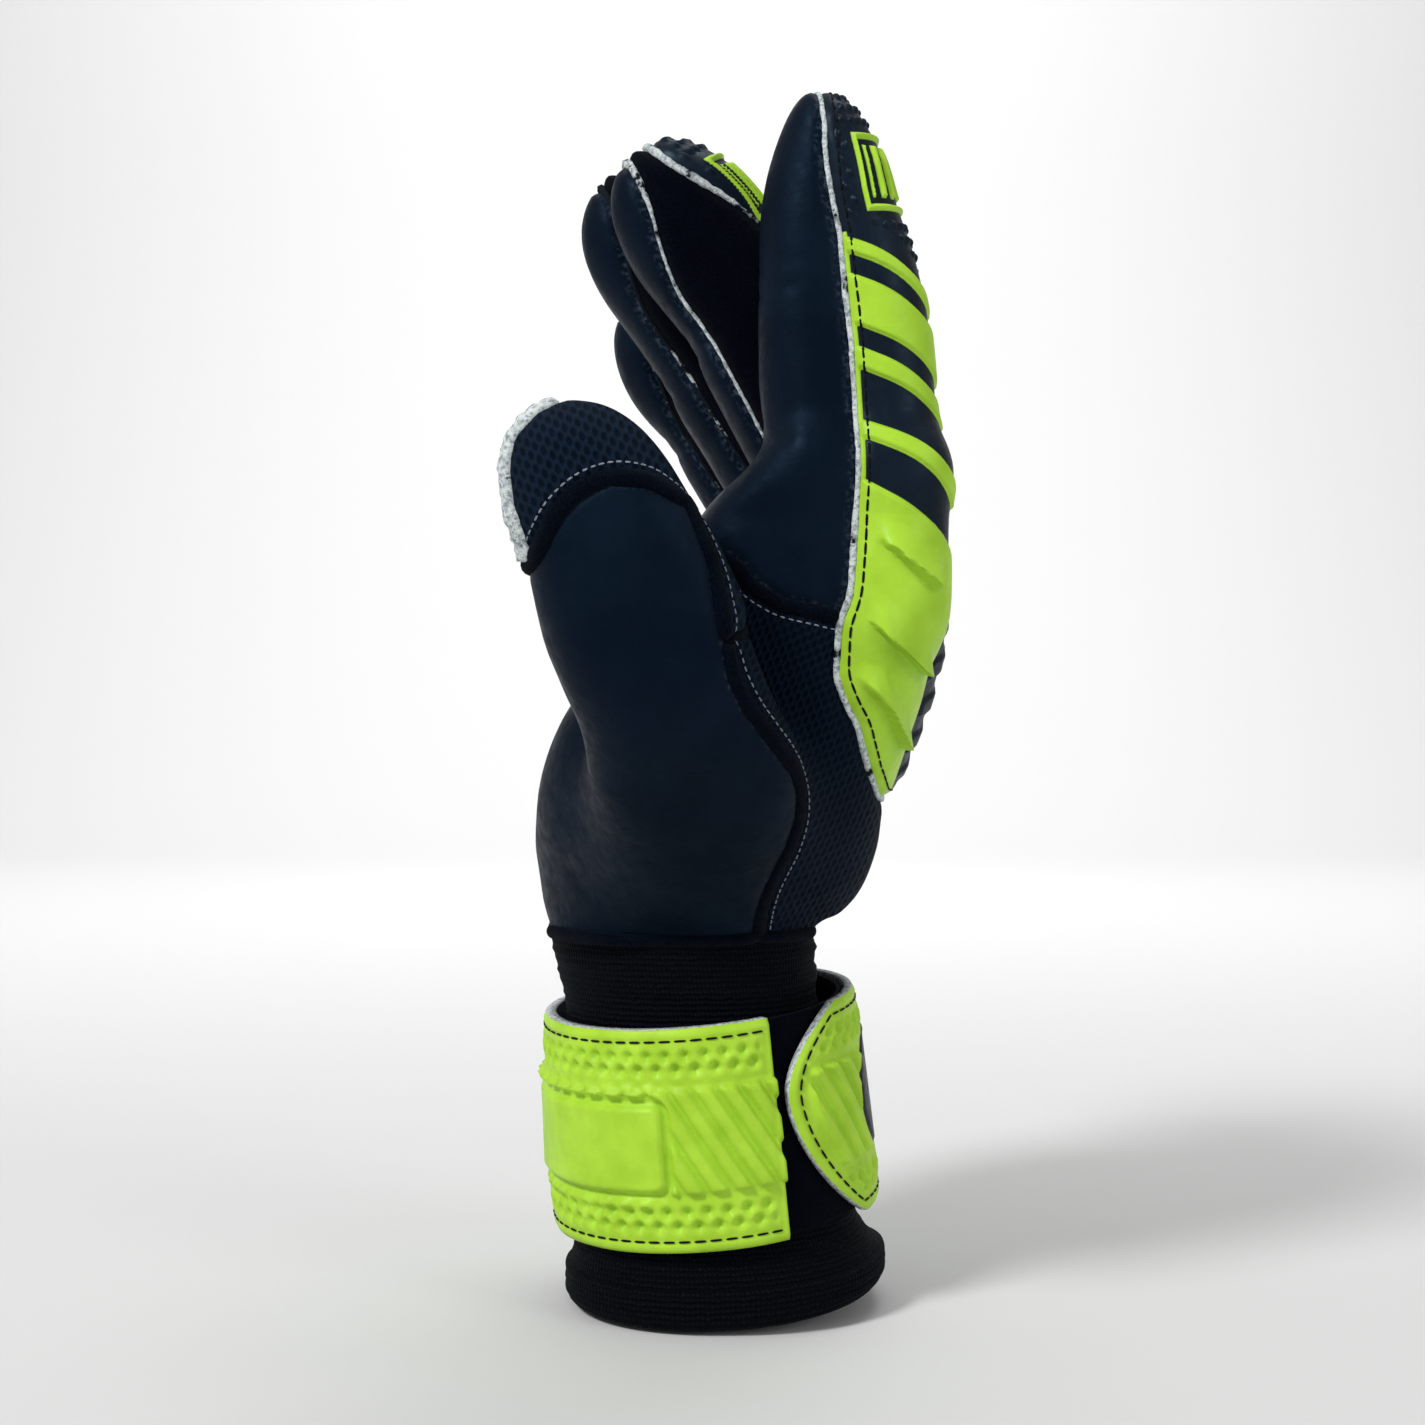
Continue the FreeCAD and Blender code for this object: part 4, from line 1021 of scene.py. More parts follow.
REPLACED = {
    "palm_hand": ("palm_latex", "thumb_root_latex"), "back_hand": ("back_panel",),
    "side_mesh_hand": ("thumb_side_mesh",), "little_mesh_hand": ("little_side_mesh",),
    "palm_thumb_low": ("thumb_base_sleeve", "thumb_lower_pad"),
    "thumb_mesh_thumb_low": ("thumb_lower_cover",),
    "palm_thumb_tip": ("thumb_mid_sleeve",), "thumb_pad_thumb_tip": ("thumb_upper_pad",),
    "thumb_mesh_thumb_tip": ("thumb_upper_cover",),
}
for name in NAMES:
    for part, sleeve, segment in (("_base", "_base_sleeve", "_lower_"), ("_tip", "_mid_sleeve", "_upper_")):
        REPLACED["palm_" + name + part] = (name + sleeve, name + segment + "palm")
        for panel in ("back", "gusset"):
            REPLACED[panel + "_" + name + part] = (name + segment + panel,)
PANEL_FINISH = {PALM: (LATEX, "latex"), BACK: (BACK_LATEX, "back"), SIDE: (SIDE_MESH, "mesh"),
                LITTLE_SIDE: (SIDE_MESH, "mesh"), GUSSET: (FLEECE, "mesh"),
                THUMB_MESH: (THUMB_CELLS, "mesh"), THUMB_PAD: (LATEX, "latex")}
CREASE = 0.3                             # depth of the folds across the palm side of each knuckle

skin, tris, label, zone = build_skin()
label, zone = clean_labels(tris, label, zone)
skin, tris, label, zone = halve(skin, tris, label, zone, label == BACK)
index_back = (label == BACK) & ((zone == FIRST_BASE) | (zone == FIRST_TIP))
skin, tris, label, zone = halve(skin, tris, label, zone, index_back)
skin, outward = settle(skin, 1)

edges, side = edges_of(tris)
owner = owners_of(edges, side)
pair = np.sort(np.where(owner >= 0, label[owner], OPEN), 1)
seam = pair[:, 0] != pair[:, 1]
sewn = edges[seam & (pair[:, 1] < OPEN)]
seam_tree = search_tree(np.concatenate([skin[sewn[:, 0]] * (1 - share) + skin[sewn[:, 1]] * share
                                        for share in (0.0, 0.34, 0.67)]))
from_seam = np.array([seam_tree.find(q)[2] for q in skin])

is_back = np.zeros(len(skin), bool)
is_back[tris[label == BACK]] = True
tone = np.full(len(skin), FAR)
lift = np.zeros(len(skin))
tone[is_back], lift[is_back] = back_pattern(skin[is_back])
lift *= ramp(from_seam, 0.0, 1.4)
valley = -1.15 * np.exp(-(from_seam / 1.7) ** 2) + 0.45 * (1 - np.exp(-(from_seam / 8.0) ** 2))
billow = sum(np.sin(skin @ np.array(d) + ph) for d, ph in
             (((0.21, 0.13, 0.09), 0.4), ((-0.12, 0.19, 0.16), 2.1), ((0.08, -0.17, 0.24), 4.0)))
valley += 0.10 * billow * np.where(is_back, 0.3, 1.0)
number = finger_number(skin)
for i, f in enumerate(FINGERS.values()):
    here = (number == i) & (base_level(skin, f) > -14) & (skin[:, 1] > -52) & ~is_back
    along, across = along_across(skin[here], f)
    inner = 1 - ramp(across, -12, -4)
    fold = sum(np.exp(-((along - at) / 1.5) ** 2) * amount
               for at, amount in ((f["reach"] - 1.5, 1.0), (f["reach"] + 4.5, 0.5), (3.0, 0.9), (8.5, 0.4)))
    valley[here] -= CREASE * fold * inner
shaped = skin + outward * (valley + lift)[:, None]
shaped_normal = vertex_normals(shaped, tris)


def cloth_coordinates(p, label_here):
    """Flat coordinates in millimetres for weaves: side panels lie in XZ, the others in YZ."""
    if label_here in (SIDE, LITTLE_SIDE, GUSSET, THUMB_MESH):
        turn = math.radians(20 if label_here == THUMB_MESH else -24 if label_here == SIDE else 0)
        u = p[:, 0] * math.cos(turn) + p[:, 2] * math.sin(turn)
        return u, p[:, 2] * math.cos(turn) - p[:, 0] * math.sin(turn)
    return p[:, 1], p[:, 2]


def skin_piece(label_here, zone_here):
    """One panel of one zone, if the glove has it."""
    chosen = tris[(label == label_here) & (zone == zone_here)]
    if len(chosen) < 12:
        return
    used, local = np.unique(chosen, return_inverse=True)
    name = LABELS[label_here] + "_" + ZONE_NAMES[zone_here]
    finish, record_slot = PANEL_FINISH[label_here]
    u, v = cloth_coordinates(skin[used], label_here)
    piece = make(name, shaped[used], local.reshape(-1, 3), finish, normals=shaped_normal[used],
                 cloth=np.stack([u, v, from_seam[used]], 1), tone=tone[used])
    piece.data.attributes["rest"].data.foreach_set("vector", skin[used].astype(np.float32).ravel())
    if name in REPLACED:
        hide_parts(*REPLACED[name])
    follow(piece, zone_here)


for zone_here in range(len(ZONE_NAMES)):
    for label_here in range(len(LABELS)):
        skin_piece(label_here, zone_here)


# ---------------------------------------------------------------------------------------------------
# Trims along the seams

def walk(edge_list):
    """Chains of vertex numbers along joined edges."""
    near = {}
    for a, b in edge_list:
        near.setdefault(a, []).append(b)
        near.setdefault(b, []).append(a)
    used = set()
    chains = []
    starts = [v for v in near if len(near[v]) != 2] + list(near)
    for v in starts:
        for first in near[v]:
            if (v, first) in used:
                continue
            chain = [v, first]
            used |= {(v, first), (first, v)}
            while len(near[chain[-1]]) == 2:
                following = [q for q in near[chain[-1]] if (chain[-1], q) not in used]
                if not following:
                    break
                used |= {(chain[-1], following[0]), (following[0], chain[-1])}
                chain.append(following[0])
            chains.append(chain)
    return chains


def even(points, normals, spacing, rounds=4):
    """A chain smoothed and set out at an even spacing."""
    for _ in range(rounds):
        for data in (points, normals):
            data[1:-1] = (data[:-2] + 2 * data[1:-1] + data[2:]) / 4
    length = np.concatenate([[0], np.cumsum(np.linalg.norm(np.diff(points, axis=0), axis=1))])
    keep = np.concatenate([[True], np.diff(length) > 1e-6])
    count = max(int(length[-1] / spacing), 2)
    at = np.linspace(0, length[-1], count + 1)
    p = np.stack([np.interp(at, length[keep], points[keep, i]) for i in range(3)], 1)
    n = np.stack([np.interp(at, length[keep], normals[keep, i]) for i in range(3)], 1)
    return p, n / np.linalg.norm(n, axis=1)[:, None], at


def across_path(points, normals, hand=1.0):
    """Directions across a path, along the surface. hand is 1 or -1 and picks the side."""
    run = np.gradient(points, axis=0)
    run /= np.maximum(np.linalg.norm(run, axis=1), 1e-9)[:, None]
    across = np.cross(normals, run)
    across /= np.maximum(np.linalg.norm(across, axis=1), 1e-9)[:, None]
    return across * hand


baskets = {}


def put_in(kind, zone_here, verts, faces, cloth):
    """Adds a length of trim to the basket of its kind and zone."""
    basket = baskets.setdefault((kind, zone_here), {"verts": [], "faces": [], "cloth": [], "count": 0})
    basket["verts"].append(verts)
    basket["faces"].append(np.asarray(faces) + basket["count"])
    basket["cloth"].append(cloth)
    basket["count"] += len(verts)


def sweep(kind, points, normals, shape, wobble=0.0, sink=0.0, swell=1.0):
    """A strip with a closed cross-section of (across, up) points, split where the zone changes."""
    across = across_path(points, normals)
    n = len(points)
    slow = np.interp(np.arange(n), np.arange(0, n + 9, 9), rng.standard_normal(len(np.arange(0, n + 9, 9))))
    size = np.clip(1 + wobble * (rng.standard_normal(n) * 0.7 + slow), 0.35, 1.8) * swell
    drift = np.convolve(rng.standard_normal(n + 4), np.ones(5) / 5, "valid") * wobble
    size[0] *= 0.25
    size[-1] *= 0.25
    shape = np.asarray(shape, float)
    rings = (points[:, None] + across[:, None] * ((shape[None, :, :1] * size[:, None, None])
                                                  + drift[:, None, None])
             + normals[:, None] * (shape[None, :, 1:] * size[:, None, None] - sink))
    k = len(shape)
    along = np.concatenate([[0], np.cumsum(np.linalg.norm(np.diff(points, axis=0), axis=1))])
    cloth = np.stack([np.repeat(along, k), np.tile(np.arange(k) * 0.6, n), np.full(n * k, CLEAR)], 1)
    cloth = cloth.reshape(n, k, 3)
    part = zone_of((points[1:] + points[:-1]) / 2)
    begin = 0
    for i in range(1, len(part) + 1):
        if i < len(part) and part[i] == part[begin]:
            continue
        ring = rings[begin:i + 1]
        put_in(kind, int(part[begin]), ring.reshape(-1, 3), grid_faces(len(ring), k),
               cloth[begin:i + 1].reshape(-1, 3))
        begin = i


surface_tree = search_tree(skin)


def on_skin(points):
    """Points moved to the shaped surface, and their outward directions."""
    settled, n = settle(points, 2)
    found = [surface_tree.find_n(q, 3) for q in settled]
    height = np.array([sum((valley + lift)[i] / (d + 0.2) for _q, i, d in three)
                       / sum(1 / (d + 0.2) for _q, i, d in three) for three in found])
    return settled + n * height[:, None], n


def thread_ring(centre, beside, up, wide, tall):
    """Six points round a length of thread."""
    angles = np.arange(6)[:, None] * math.pi / 3
    return centre + wide * np.cos(angles) * beside + tall * np.sin(angles) * up


def thread_cloth(pitch):
    """Cloth coordinates for a thread's five rings of six points."""
    return np.stack([np.repeat(np.arange(5) * pitch, 6), np.tile(np.arange(6) * math.pi / 15, 5),
                     np.full(30, CLEAR)], 1)


def stitches(kind, points, normals, hand, offset, length=2.6, gap=0.35, thick=0.24):
    """A row of thread lengths beside a seam, on the side that hand picks."""
    wide, tall = thick * 1.15, thick * 0.75
    across = across_path(points, normals, hand)
    path, n = on_skin(points + across * offset)
    path, n, at = even(path, n, 0.25, 2)
    pitch = length + gap
    for begin in np.arange(gap, at[-1] - pitch, pitch):
        rings = []
        for share, size in ((0.0, 0.35), (0.12, 0.9), (0.5, 1.0), (0.88, 0.9), (1.0, 0.35)):
            i = min(int((begin + share * length) / 0.25), len(path) - 1)
            j = min(i + 1, len(path) - 1)
            ahead = path[j] - path[i - 1]
            ahead /= max(np.linalg.norm(ahead), 1e-9)
            beside = np.cross(n[i], ahead)
            rise = 0.02 if share in (0.0, 1.0) else 0.16
            rings.append(thread_ring(path[i] + n[i] * rise, beside, n[i], wide * size, tall * size))
        put_in(kind, int(zone_of(path[[int(begin / 0.25)]])[0]), np.concatenate(rings), grid_faces(5, 6),
               thread_cloth(length / 4))


def half_round(width, height, steps=8):
    """A half-round section with its flat side sunk a little."""
    t = np.linspace(0, math.pi, steps)
    return np.concatenate([np.stack([np.cos(t) * width / 2, np.sin(t) * height], 1),
                           [[-width / 2 * 0.8, -0.5], [width / 2 * 0.8, -0.5]]])[::-1]


EDGE_FOAM = [(-0.85, -0.6), (-0.9, 0.5), (-0.45, 0.95), (0.45, 1.0), (0.9, 0.55), (0.85, -0.6)]
THIN_FOAM = [(-0.34, -0.5), (-0.38, 0.35), (0.0, 0.62), (0.38, 0.4), (0.34, -0.5)]

# Each pair of neighbouring panels: its trim, and the panel whose side the stitches are on.
trim_rules = {
    (PALM, BACK): ("foam", BACK), (BACK, SIDE): ("foam", BACK), (BACK, LITTLE_SIDE): ("foam", BACK),
    (PALM, SIDE): ("roll", SIDE), (PALM, LITTLE_SIDE): ("roll", LITTLE_SIDE),
    (PALM, GUSSET): ("thin", PALM), (BACK, GUSSET): ("thin", BACK),
    (PALM, THUMB_MESH): ("arc", THUMB_MESH), (PALM, THUMB_PAD): ("arc", THUMB_PAD),
    (THUMB_MESH, THUMB_PAD): ("pad_foam", THUMB_PAD),
    (SIDE, LITTLE_SIDE): ("thread", SIDE), (SIDE, THUMB_MESH): ("thread", SIDE),
    (PALM, OPEN): ("hem", PALM), (SIDE, OPEN): ("hem", SIDE), (LITTLE_SIDE, OPEN): ("hem", LITTLE_SIDE),
}
middle_of = shaped[tris].mean(1)
grouped = {}
lean_of = {}
for edge, key, sides in zip(edges[seam], pair[seam], owner[seam]):
    rule, wanted = trim_rules.get(tuple(int(q) for q in key), (None, None))
    if rule:
        grouped.setdefault(rule, []).append((int(edge[0]), int(edge[1])))
        beside = sides[0] if label[sides[0]] == wanted else sides[1]
        for v in edge:
            lean_of[rule, int(v)] = middle_of[beside] - shaped[edge].mean(0)
for rule, members in grouped.items():
    for chain in walk(members):
        if len(chain) < 7:
            continue
        raw = across_path(shaped[chain], shaped_normal[chain])
        lean = np.array([lean_of[rule, v] for v in chain])
        hand = 1.0 if np.median((raw * lean).sum(1)) > 0 else -1.0
        p, n, at = even(shaped[chain], shaped_normal[chain], 1.1)
        if at[-1] < 7:
            continue
        if rule == "foam":
            swell = 0.82 - 0.2 * ramp(p[:, 2], 165, 185)
            sweep("foam_edge", p, n, EDGE_FOAM, wobble=0.09, sink=-0.1, swell=swell)
            stitches("dark_stitch", p, n, hand, 2.3)
        elif rule == "pad_foam":
            sweep("thumb_foam_edge", p, n, EDGE_FOAM, wobble=0.12, swell=2.3)
        elif rule == "thin":
            sweep("thin_foam_edge", p, n, THIN_FOAM, wobble=0.16, swell=1 + 1.1 * ramp(p[:, 2], 238, 255))
        elif rule == "roll":
            sweep("bound_roll", p, n, half_round(3.6, 1.8), wobble=0.05)
            stitches("pale_stitch", p, n, hand, 2.5, length=1.1, gap=0.7, thick=0.16)
        elif rule == "arc":
            sweep("bound_roll", p, n, half_round(4.4, 2.1), wobble=0.05)
            stitches("pale_stitch", p, n, hand, 2.9, length=1.1, gap=0.6, thick=0.18)
        elif rule == "hem":
            sweep("wrist_lip", p, n, half_round(3.0, 1.4), wobble=0.04)
        elif rule == "thread":
            sweep("bound_roll", p, n, half_round(1.8, 0.9), wobble=0.05)

for side in (-1, 1):
    z = np.linspace(118.5, 170.5, 60)
    y = panel_border(z, side)
    near_x, far_x = np.full(60, 20.0), np.full(60, 60.0)
    for _ in range(24):
        x = (near_x + far_x) / 2
        inside = glove(np.stack([x, y, z], 1)) < 0
        near_x, far_x = np.where(inside, x, near_x), np.where(inside, far_x, x)
    p, n = on_skin(np.stack([near_x, y, z], 1))
    p, n = even(p, n, 1.0)[:2]
    sweep("back_piping", p, n, half_round(1.7, 0.9), wobble=0.04, sink=0.1)

TRIM_FINISH = {"foam_edge": (FOAM, "foam"), "thumb_foam_edge": (THUMB_FOAM, "foam"),
               "thin_foam_edge": (THIN, "foam"), "dark_stitch": (BLACK_THREAD, "back"),
               "pale_stitch": (WHITE_THREAD, "foam"), "bound_roll": (ROLL, "mesh"),
               "wrist_lip": (ROLL, "knit"), "back_piping": (PIPING, "foam")}
for (kind, zone_here), basket in sorted(baskets.items()):
    outer_finger = ZONE_NAMES[zone_here].startswith(("ring", "little"))
    finish = WORN if kind == "thin_foam_edge" and outer_finger else TRIM_FINISH[kind][0]
    piece = make(kind + "_" + ZONE_NAMES[zone_here], np.concatenate(basket["verts"]),
                 np.concatenate(basket["faces"]), finish, cloth=np.concatenate(basket["cloth"]))
    follow(piece, zone_here)


# ---------------------------------------------------------------------------------------------------
# Cuff: a double-walled knitted sleeve with a folded hem

CUFF = dict(z=[0, 2.5, 8, 13, 20, 45, 70, 84, 90], x=[0, 0, 0, -1, -2, -4.5, -8, -10, -10.5],
            a=[34.6, 35.6, 35.6, 33.6, 31.5, 30.2, 28.8, 30.0, 29.5],
            b=[33, 34, 34, 32.6, 31.0, 30.2, 30.5, 32.2, 31.5])


def cuff_point(turn, z, out):
    """A point of the cuff's wall. Its hem is lifted at the back of the hand."""
    cx, a, b = (np.interp(z, CUFF["z"], CUFF[k]) for k in "xab")
    c, s = np.cos(turn), np.sin(turn)
    squarish = (abs(c) ** 2.3 + abs(s) ** 2.3) ** (-1 / 2.3)
    lifted = 5.5 * ((c + 1) / 2) ** 2 * (1 - ramp(z, 0, 24))
    lifted = lifted + 0.8 * np.sin(2 * turn + 1) * (1 - ramp(z, 0, 14))
    return np.stack([cx + (a * squarish + out) * c, (b * squarish + out) * s, z + np.maximum(lifted, 0)], -1)


def build_cuff():
    """The sleeve, from its hem up the outside and back down the inside."""
    columns = 300
    turn = np.arange(columns) * 2 * math.pi / columns
    levels = np.concatenate([np.arange(0.6, 9.0, 0.7), np.arange(9.5, 90, 1.0)])
    rows, cloth = [], []
    for z in levels:
        hem = 0.9 * ramp(z, 0.0, 1.6) * (1 - ramp(z, 8.4, 9.4))
        wrinkle = 0.0
        for at, size, phase in ((74, 0.9, 0.3), (79, 0.7, 2.0), (25, 0.35, 1.0)):
            wave = z - at - 1.6 * np.sin(turn * 2 + phase)
            wrinkle = wrinkle + size * np.exp(-(wave / 1.7) ** 2) * (0.6 + 0.4 * np.sin(turn * 3 + phase))
        course = 0.16 * math.sin(z * 2 * math.pi / 2.5)
        rows.append(cuff_point(turn, np.full(columns, z), hem + wrinkle + course))
        cloth.append(np.stack([turn * 32, np.full(columns, z), np.full(columns, CLEAR)], 1))
    for z in levels[::-1]:
        rows.append(cuff_point(turn, np.full(columns, z + 0.1), -2.2))
        cloth.append(np.stack([turn * 30, np.full(columns, z), np.full(columns, CLEAR)], 1))
    piece = make("knitted_cuff", np.concatenate(rows), grid_faces(len(rows), columns, closed_rows=True), KNIT,
                 cloth=np.concatenate(cloth))
    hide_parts("cuff_sleeve", "cuff_hem", "wrist_binding")
    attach(piece, "hand")


build_cuff()


# ---------------------------------------------------------------------------------------------------
# Strap: a band, a strip of loop pile and a free tab, on one tilted ring

STRAP = dict(x=-3.0, z=45.0, tilt=math.radians(5.0), a=36.8, b=36.0, half=24.0, pull=1.6, dip=0.062)
RADIUS = 36.4
BAND_FROM = -math.acos(16.6 / STRAP["a"])          # the band's near end, on the thumb's side
BAND_TO = -2 * math.pi + math.acos(15.6 / STRAP["a"])       # its far end, on the little finger's side
TAB_TO = math.acos(16.6 / STRAP["a"])
STITCH_IN = 2.5
PIT_ROWS = (18.3, 15.4, -18.3, -15.4)
RIB_HALF = 11.6


def strap_point(turn, height, out):
    """A point of the strap's ring, out millimetres off its middle surface."""
    draw_in = 0.85 * (1 + height / STRAP["half"])
    x = (STRAP["a"] - draw_in + out) * np.cos(turn) - STRAP["pull"]
    y = (STRAP["b"] + out) * np.sin(turn)
    c, s = math.cos(STRAP["tilt"]), math.sin(STRAP["tilt"])
    z = STRAP["z"] + x * s + height * c + STRAP["dip"] * y
    return np.stack([STRAP["x"] + x * c - height * s, y, z], -1)


def dimples(u, v, rows, pitch=4.4, radius=1.1, depth=1.25):
    """Rows of round pits with raised rims."""
    lift = np.zeros_like(u)
    for number, row in enumerate(rows):
        off = (u / pitch + 0.5 * (number % 2)) % 1.0 - 0.5
        near = np.hypot(off * pitch, v - row)
        lift += -depth * np.exp(-(near / radius) ** 2.4) + 0.28 * np.exp(-((near - 2.0) / 0.7) ** 2)
    return lift


def knobs(u, v, row, pitch=5.2):
    """A row of low square knobs."""
    off = (u / pitch) % 1.0 - 0.5
    box = np.maximum(abs(off * pitch) - 1.5, abs(v - row) - 0.9)
    return 0.8 * ramp(-box, -0.4, 0.5)


def diagonal_ribs(u, v, pitch=5.3, lean=0.56):
    """Slanting ribs across the strap's middle."""
    phase = ((u + lean * v) / pitch) % 1.0
    rib = ramp(phase, 0.10, 0.26) * (1 - ramp(phase, 0.72, 0.94))
    return 1.5 * rib * ramp(RIB_HALF - abs(v), 0.0, 0.9)


def stitch_groove(from_edge):
    """The groove that the stitches lie in, and the rounding of the slab's edge."""
    return -0.28 * np.exp(-((from_edge - STITCH_IN) / 0.5) ** 2) - 0.55 * (1 - ramp(from_edge, 0, 1.3))


def slab(name, left, right, half, out, depth, relief, finish, edge_finish, step=0.62):
    """A curved slab from angle left to angle right, with a relief on its outer face. left is a function of
    the height on a slab whose free edge isn't straight."""
    heights = np.linspace(-half, half, int(2 * half / step) + 1)
    begin = np.array([left(h) if callable(left) else left for h in heights])[:, None]
    columns = int(abs(right - begin).max() * RADIUS / step) + 1
    turn = begin + (right - begin) * np.linspace(0, 1, columns)
    height = np.repeat(heights[:, None], columns, 1)
    lift, tone_here = relief(turn, height)
    face = strap_point(turn, height, out + lift)
    under = strap_point(turn, height, np.full_like(turn, out - depth))
    rows = len(heights)
    verts = np.concatenate([face.reshape(-1, 3), under.reshape(-1, 3)])
    n = rows * columns
    grid = np.array(grid_faces(rows, columns, closed_columns=False))
    rim = [(r, 0) for r in range(rows)] + [(rows - 1, c) for c in range(1, columns)]
    rim += [(r, columns - 1) for r in range(rows - 2, -1, -1)] + [(0, c) for c in range(columns - 2, 0, -1)]
    rim = [r * columns + c for r, c in rim]
    wall = [[a, b, b + n, a + n] for a, b in zip(rim, rim[1:] + rim[:1])]
    faces = grid.tolist() + (grid[:, ::-1] + n).tolist() + wall
    cloth = np.stack([turn.ravel() * RADIUS, height.ravel(), np.full(n, CLEAR)], 1)
    piece = make(name, verts, faces, [finish, edge_finish], cloth=np.concatenate([cloth, cloth]),
                 tone=np.concatenate([tone_here.ravel(), np.full(n, FAR)]))
    kind = np.zeros(len(faces), np.int32)
    kind[len(grid):] = 1
    piece.data.polygons.foreach_set("material_index", kind)
    return piece


def band_relief(turn, height):
    """The band's pits, knobs, ribs and blank raised plate."""
    u = (BAND_FROM - turn) * RADIUS
    length = (BAND_FROM - BAND_TO) * RADIUS
    from_edge = np.minimum(STRAP["half"] - abs(height), np.minimum(u, length - u) + 1.2)
    x = STRAP["a"] * np.cos(turn)
    corner = rounded_both(x + 9.2, abs(height + 1.4) - 9.2, 2.0)
    lift = stitch_groove(from_edge)
    field = (STRAP["half"] - 4.2 - abs(height)) > 0
    lift += dimples(u, height, PIT_ROWS) * ramp(from_edge, 3.4, 4.4) * field
    beside = ramp(corner, 1.6, 2.4)
    lift += diagonal_ribs(turn * RADIUS, height) * beside
    inner_rows = ramp(-x, 9.2, 11.0)
    lift += (knobs(u, height, 11.4) + knobs(u + 2.6, height, -13.2)) * inner_rows
    lift += 1.5 * ramp(-corner, -0.5, 0.7) - 0.4 * np.exp(-((corner - 0.9) / 0.5) ** 2)
    lift += 0.08 * np.sin(turn * 9 + height * 0.21)
    return lift, np.full_like(turn, FAR)


NOSE, HEEL, TOE, NOSE_Z = 19.0, 31.5, 33.6, 6.0


def tab_start(height):
    """Angle of the tab's free edge: a leaf-shaped nose."""
    if height > NOSE_Z:
        x = NOSE + (HEEL - NOSE) * ((height - NOSE_Z) / (STRAP["half"] - NOSE_Z)) ** 1.9
    else:
        x = NOSE + (TOE - NOSE) * ((NOSE_Z - height) / (STRAP["half"] + NOSE_Z)) ** 1.7
    return -math.acos(x / STRAP["a"])


def tab_relief(turn, height):
    """The tab's pits, ribs and plain oval."""
    begin = np.array([tab_start(h) for h in height[:, 0]])[:, None]
    u = (turn - begin) * RADIUS
    from_nose = u * 0.86
    far = (TAB_TO - turn) * RADIUS
    from_edge = np.minimum(np.minimum(STRAP["half"] - abs(height), from_nose), far + 1.2)
    flat = turn * RADIUS
    oval = np.hypot(flat - 2.0, height - 1.0) - 14.0
    lift = stitch_groove(from_edge)
    inside = ramp(from_edge, 4.0, 5.2)
    lift += diagonal_ribs(flat, height) * inside * ramp(oval, 0.6, 3.2)
    lift += dimples(flat, height, PIT_ROWS, radius=1.0) * inside
    lift += 0.45 * ramp(-oval, 0.0, 1.4)
    return lift, -oval


def build_strap():
    """The band, the loop pile, the tab with its hook pad, and the stitches."""
    band = slab("wrist_strap_band", BAND_FROM, BAND_TO, STRAP["half"], 0.0, 2.9, band_relief,
                NEON, STRAP_FOAM)
    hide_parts("strap_band")
    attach(band, "hand")
    loop = slab("strap_loop_pile", BAND_FROM - 0.02, 0.95, 23.4, -1.9, 1.0,
                lambda t, h: (0.10 * np.sin(t * 140) * np.sin(h * 2.3), np.full_like(t, FAR)), LOOP, LOOP)
    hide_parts("strap_loop_strip")
    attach(loop, "hand")
    hooks = slab("strap_hook_pad", lambda h: tab_start(h) + 8.0 / RADIUS, TAB_TO - 0.2, 17.0, -1.05, 0.75,
                 lambda t, h: (0.12 * np.sin(t * 170) * np.sin(h * 4.1), np.full_like(t, FAR)), HOOKS, HOOKS)
    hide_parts("hook_patch")
    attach(hooks, "strap")
    tab = slab("strap_tab", tab_start, TAB_TO, STRAP["half"], 1.3, 2.3, tab_relief,
               NEON, STRAP_FOAM, step=0.42)
    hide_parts("closure_strap")
    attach(tab, "strap")
    strap_stitches("band_stitch", "hand", [(np.linspace(BAND_FROM - 0.03, BAND_TO + 0.05, 900), side * 21.5)
                                           for side in (1, -1)], 0.0)
    nose = np.linspace(21.3, -21.3, 300)
    edge = np.array([tab_start(h) for h in nose])
    inset = edge + (STITCH_IN + 0.4) / RADIUS
    top = np.linspace(TAB_TO - 0.05, inset[0], 300)
    low = np.linspace(inset[-1], TAB_TO - 0.05, 300)
    turn = np.concatenate([top, inset, low])
    height = np.concatenate([np.full(300, 21.4), nose, np.full(300, -21.4)])
    strap_stitches("tab_stitch", "strap", [(turn, height)], 1.3)


def strap_stitches(name, body, paths, out, length=2.6, gap=0.8):
    """Thread lengths along paths of (angles, heights) on the strap."""
    rings = []
    for turn, height in paths:
        line = strap_point(turn, height + 0 * turn, out - 0.12)
        at = np.concatenate([[0], np.cumsum(np.linalg.norm(np.diff(line, axis=0), axis=1))])
        for begin in np.arange(0.5, at[-1] - length, length + gap):
            for share, size in ((0, 0.3), (0.15, 0.9), (0.5, 1.0), (0.85, 0.9), (1, 0.3)):
                place = begin + share * length
                q = np.array([np.interp(place, at, line[:, i]) for i in range(3)])
                r = np.array([np.interp(place + 0.1, at, line[:, i]) for i in range(3)])
                ahead = (r - q) / max(np.linalg.norm(r - q), 1e-9)
                up = np.array([q[0] - STRAP["x"], q[1], 0.0])
                up /= np.linalg.norm(up)
                rings.append(thread_ring(q + up * 0.1, np.cross(up, ahead), up, 0.26 * size, 0.208 * size))
    lengths = len(rings) // 5
    faces = (np.arange(lengths)[:, None, None] * 30 + np.array(grid_faces(5, 6))).reshape(-1, 4)
    cloth = np.tile(thread_cloth(0.6), (lengths, 1))
    piece = make(name, np.concatenate(rings), faces, BLACK_THREAD, cloth=cloth)
    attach(piece, body)


build_strap()

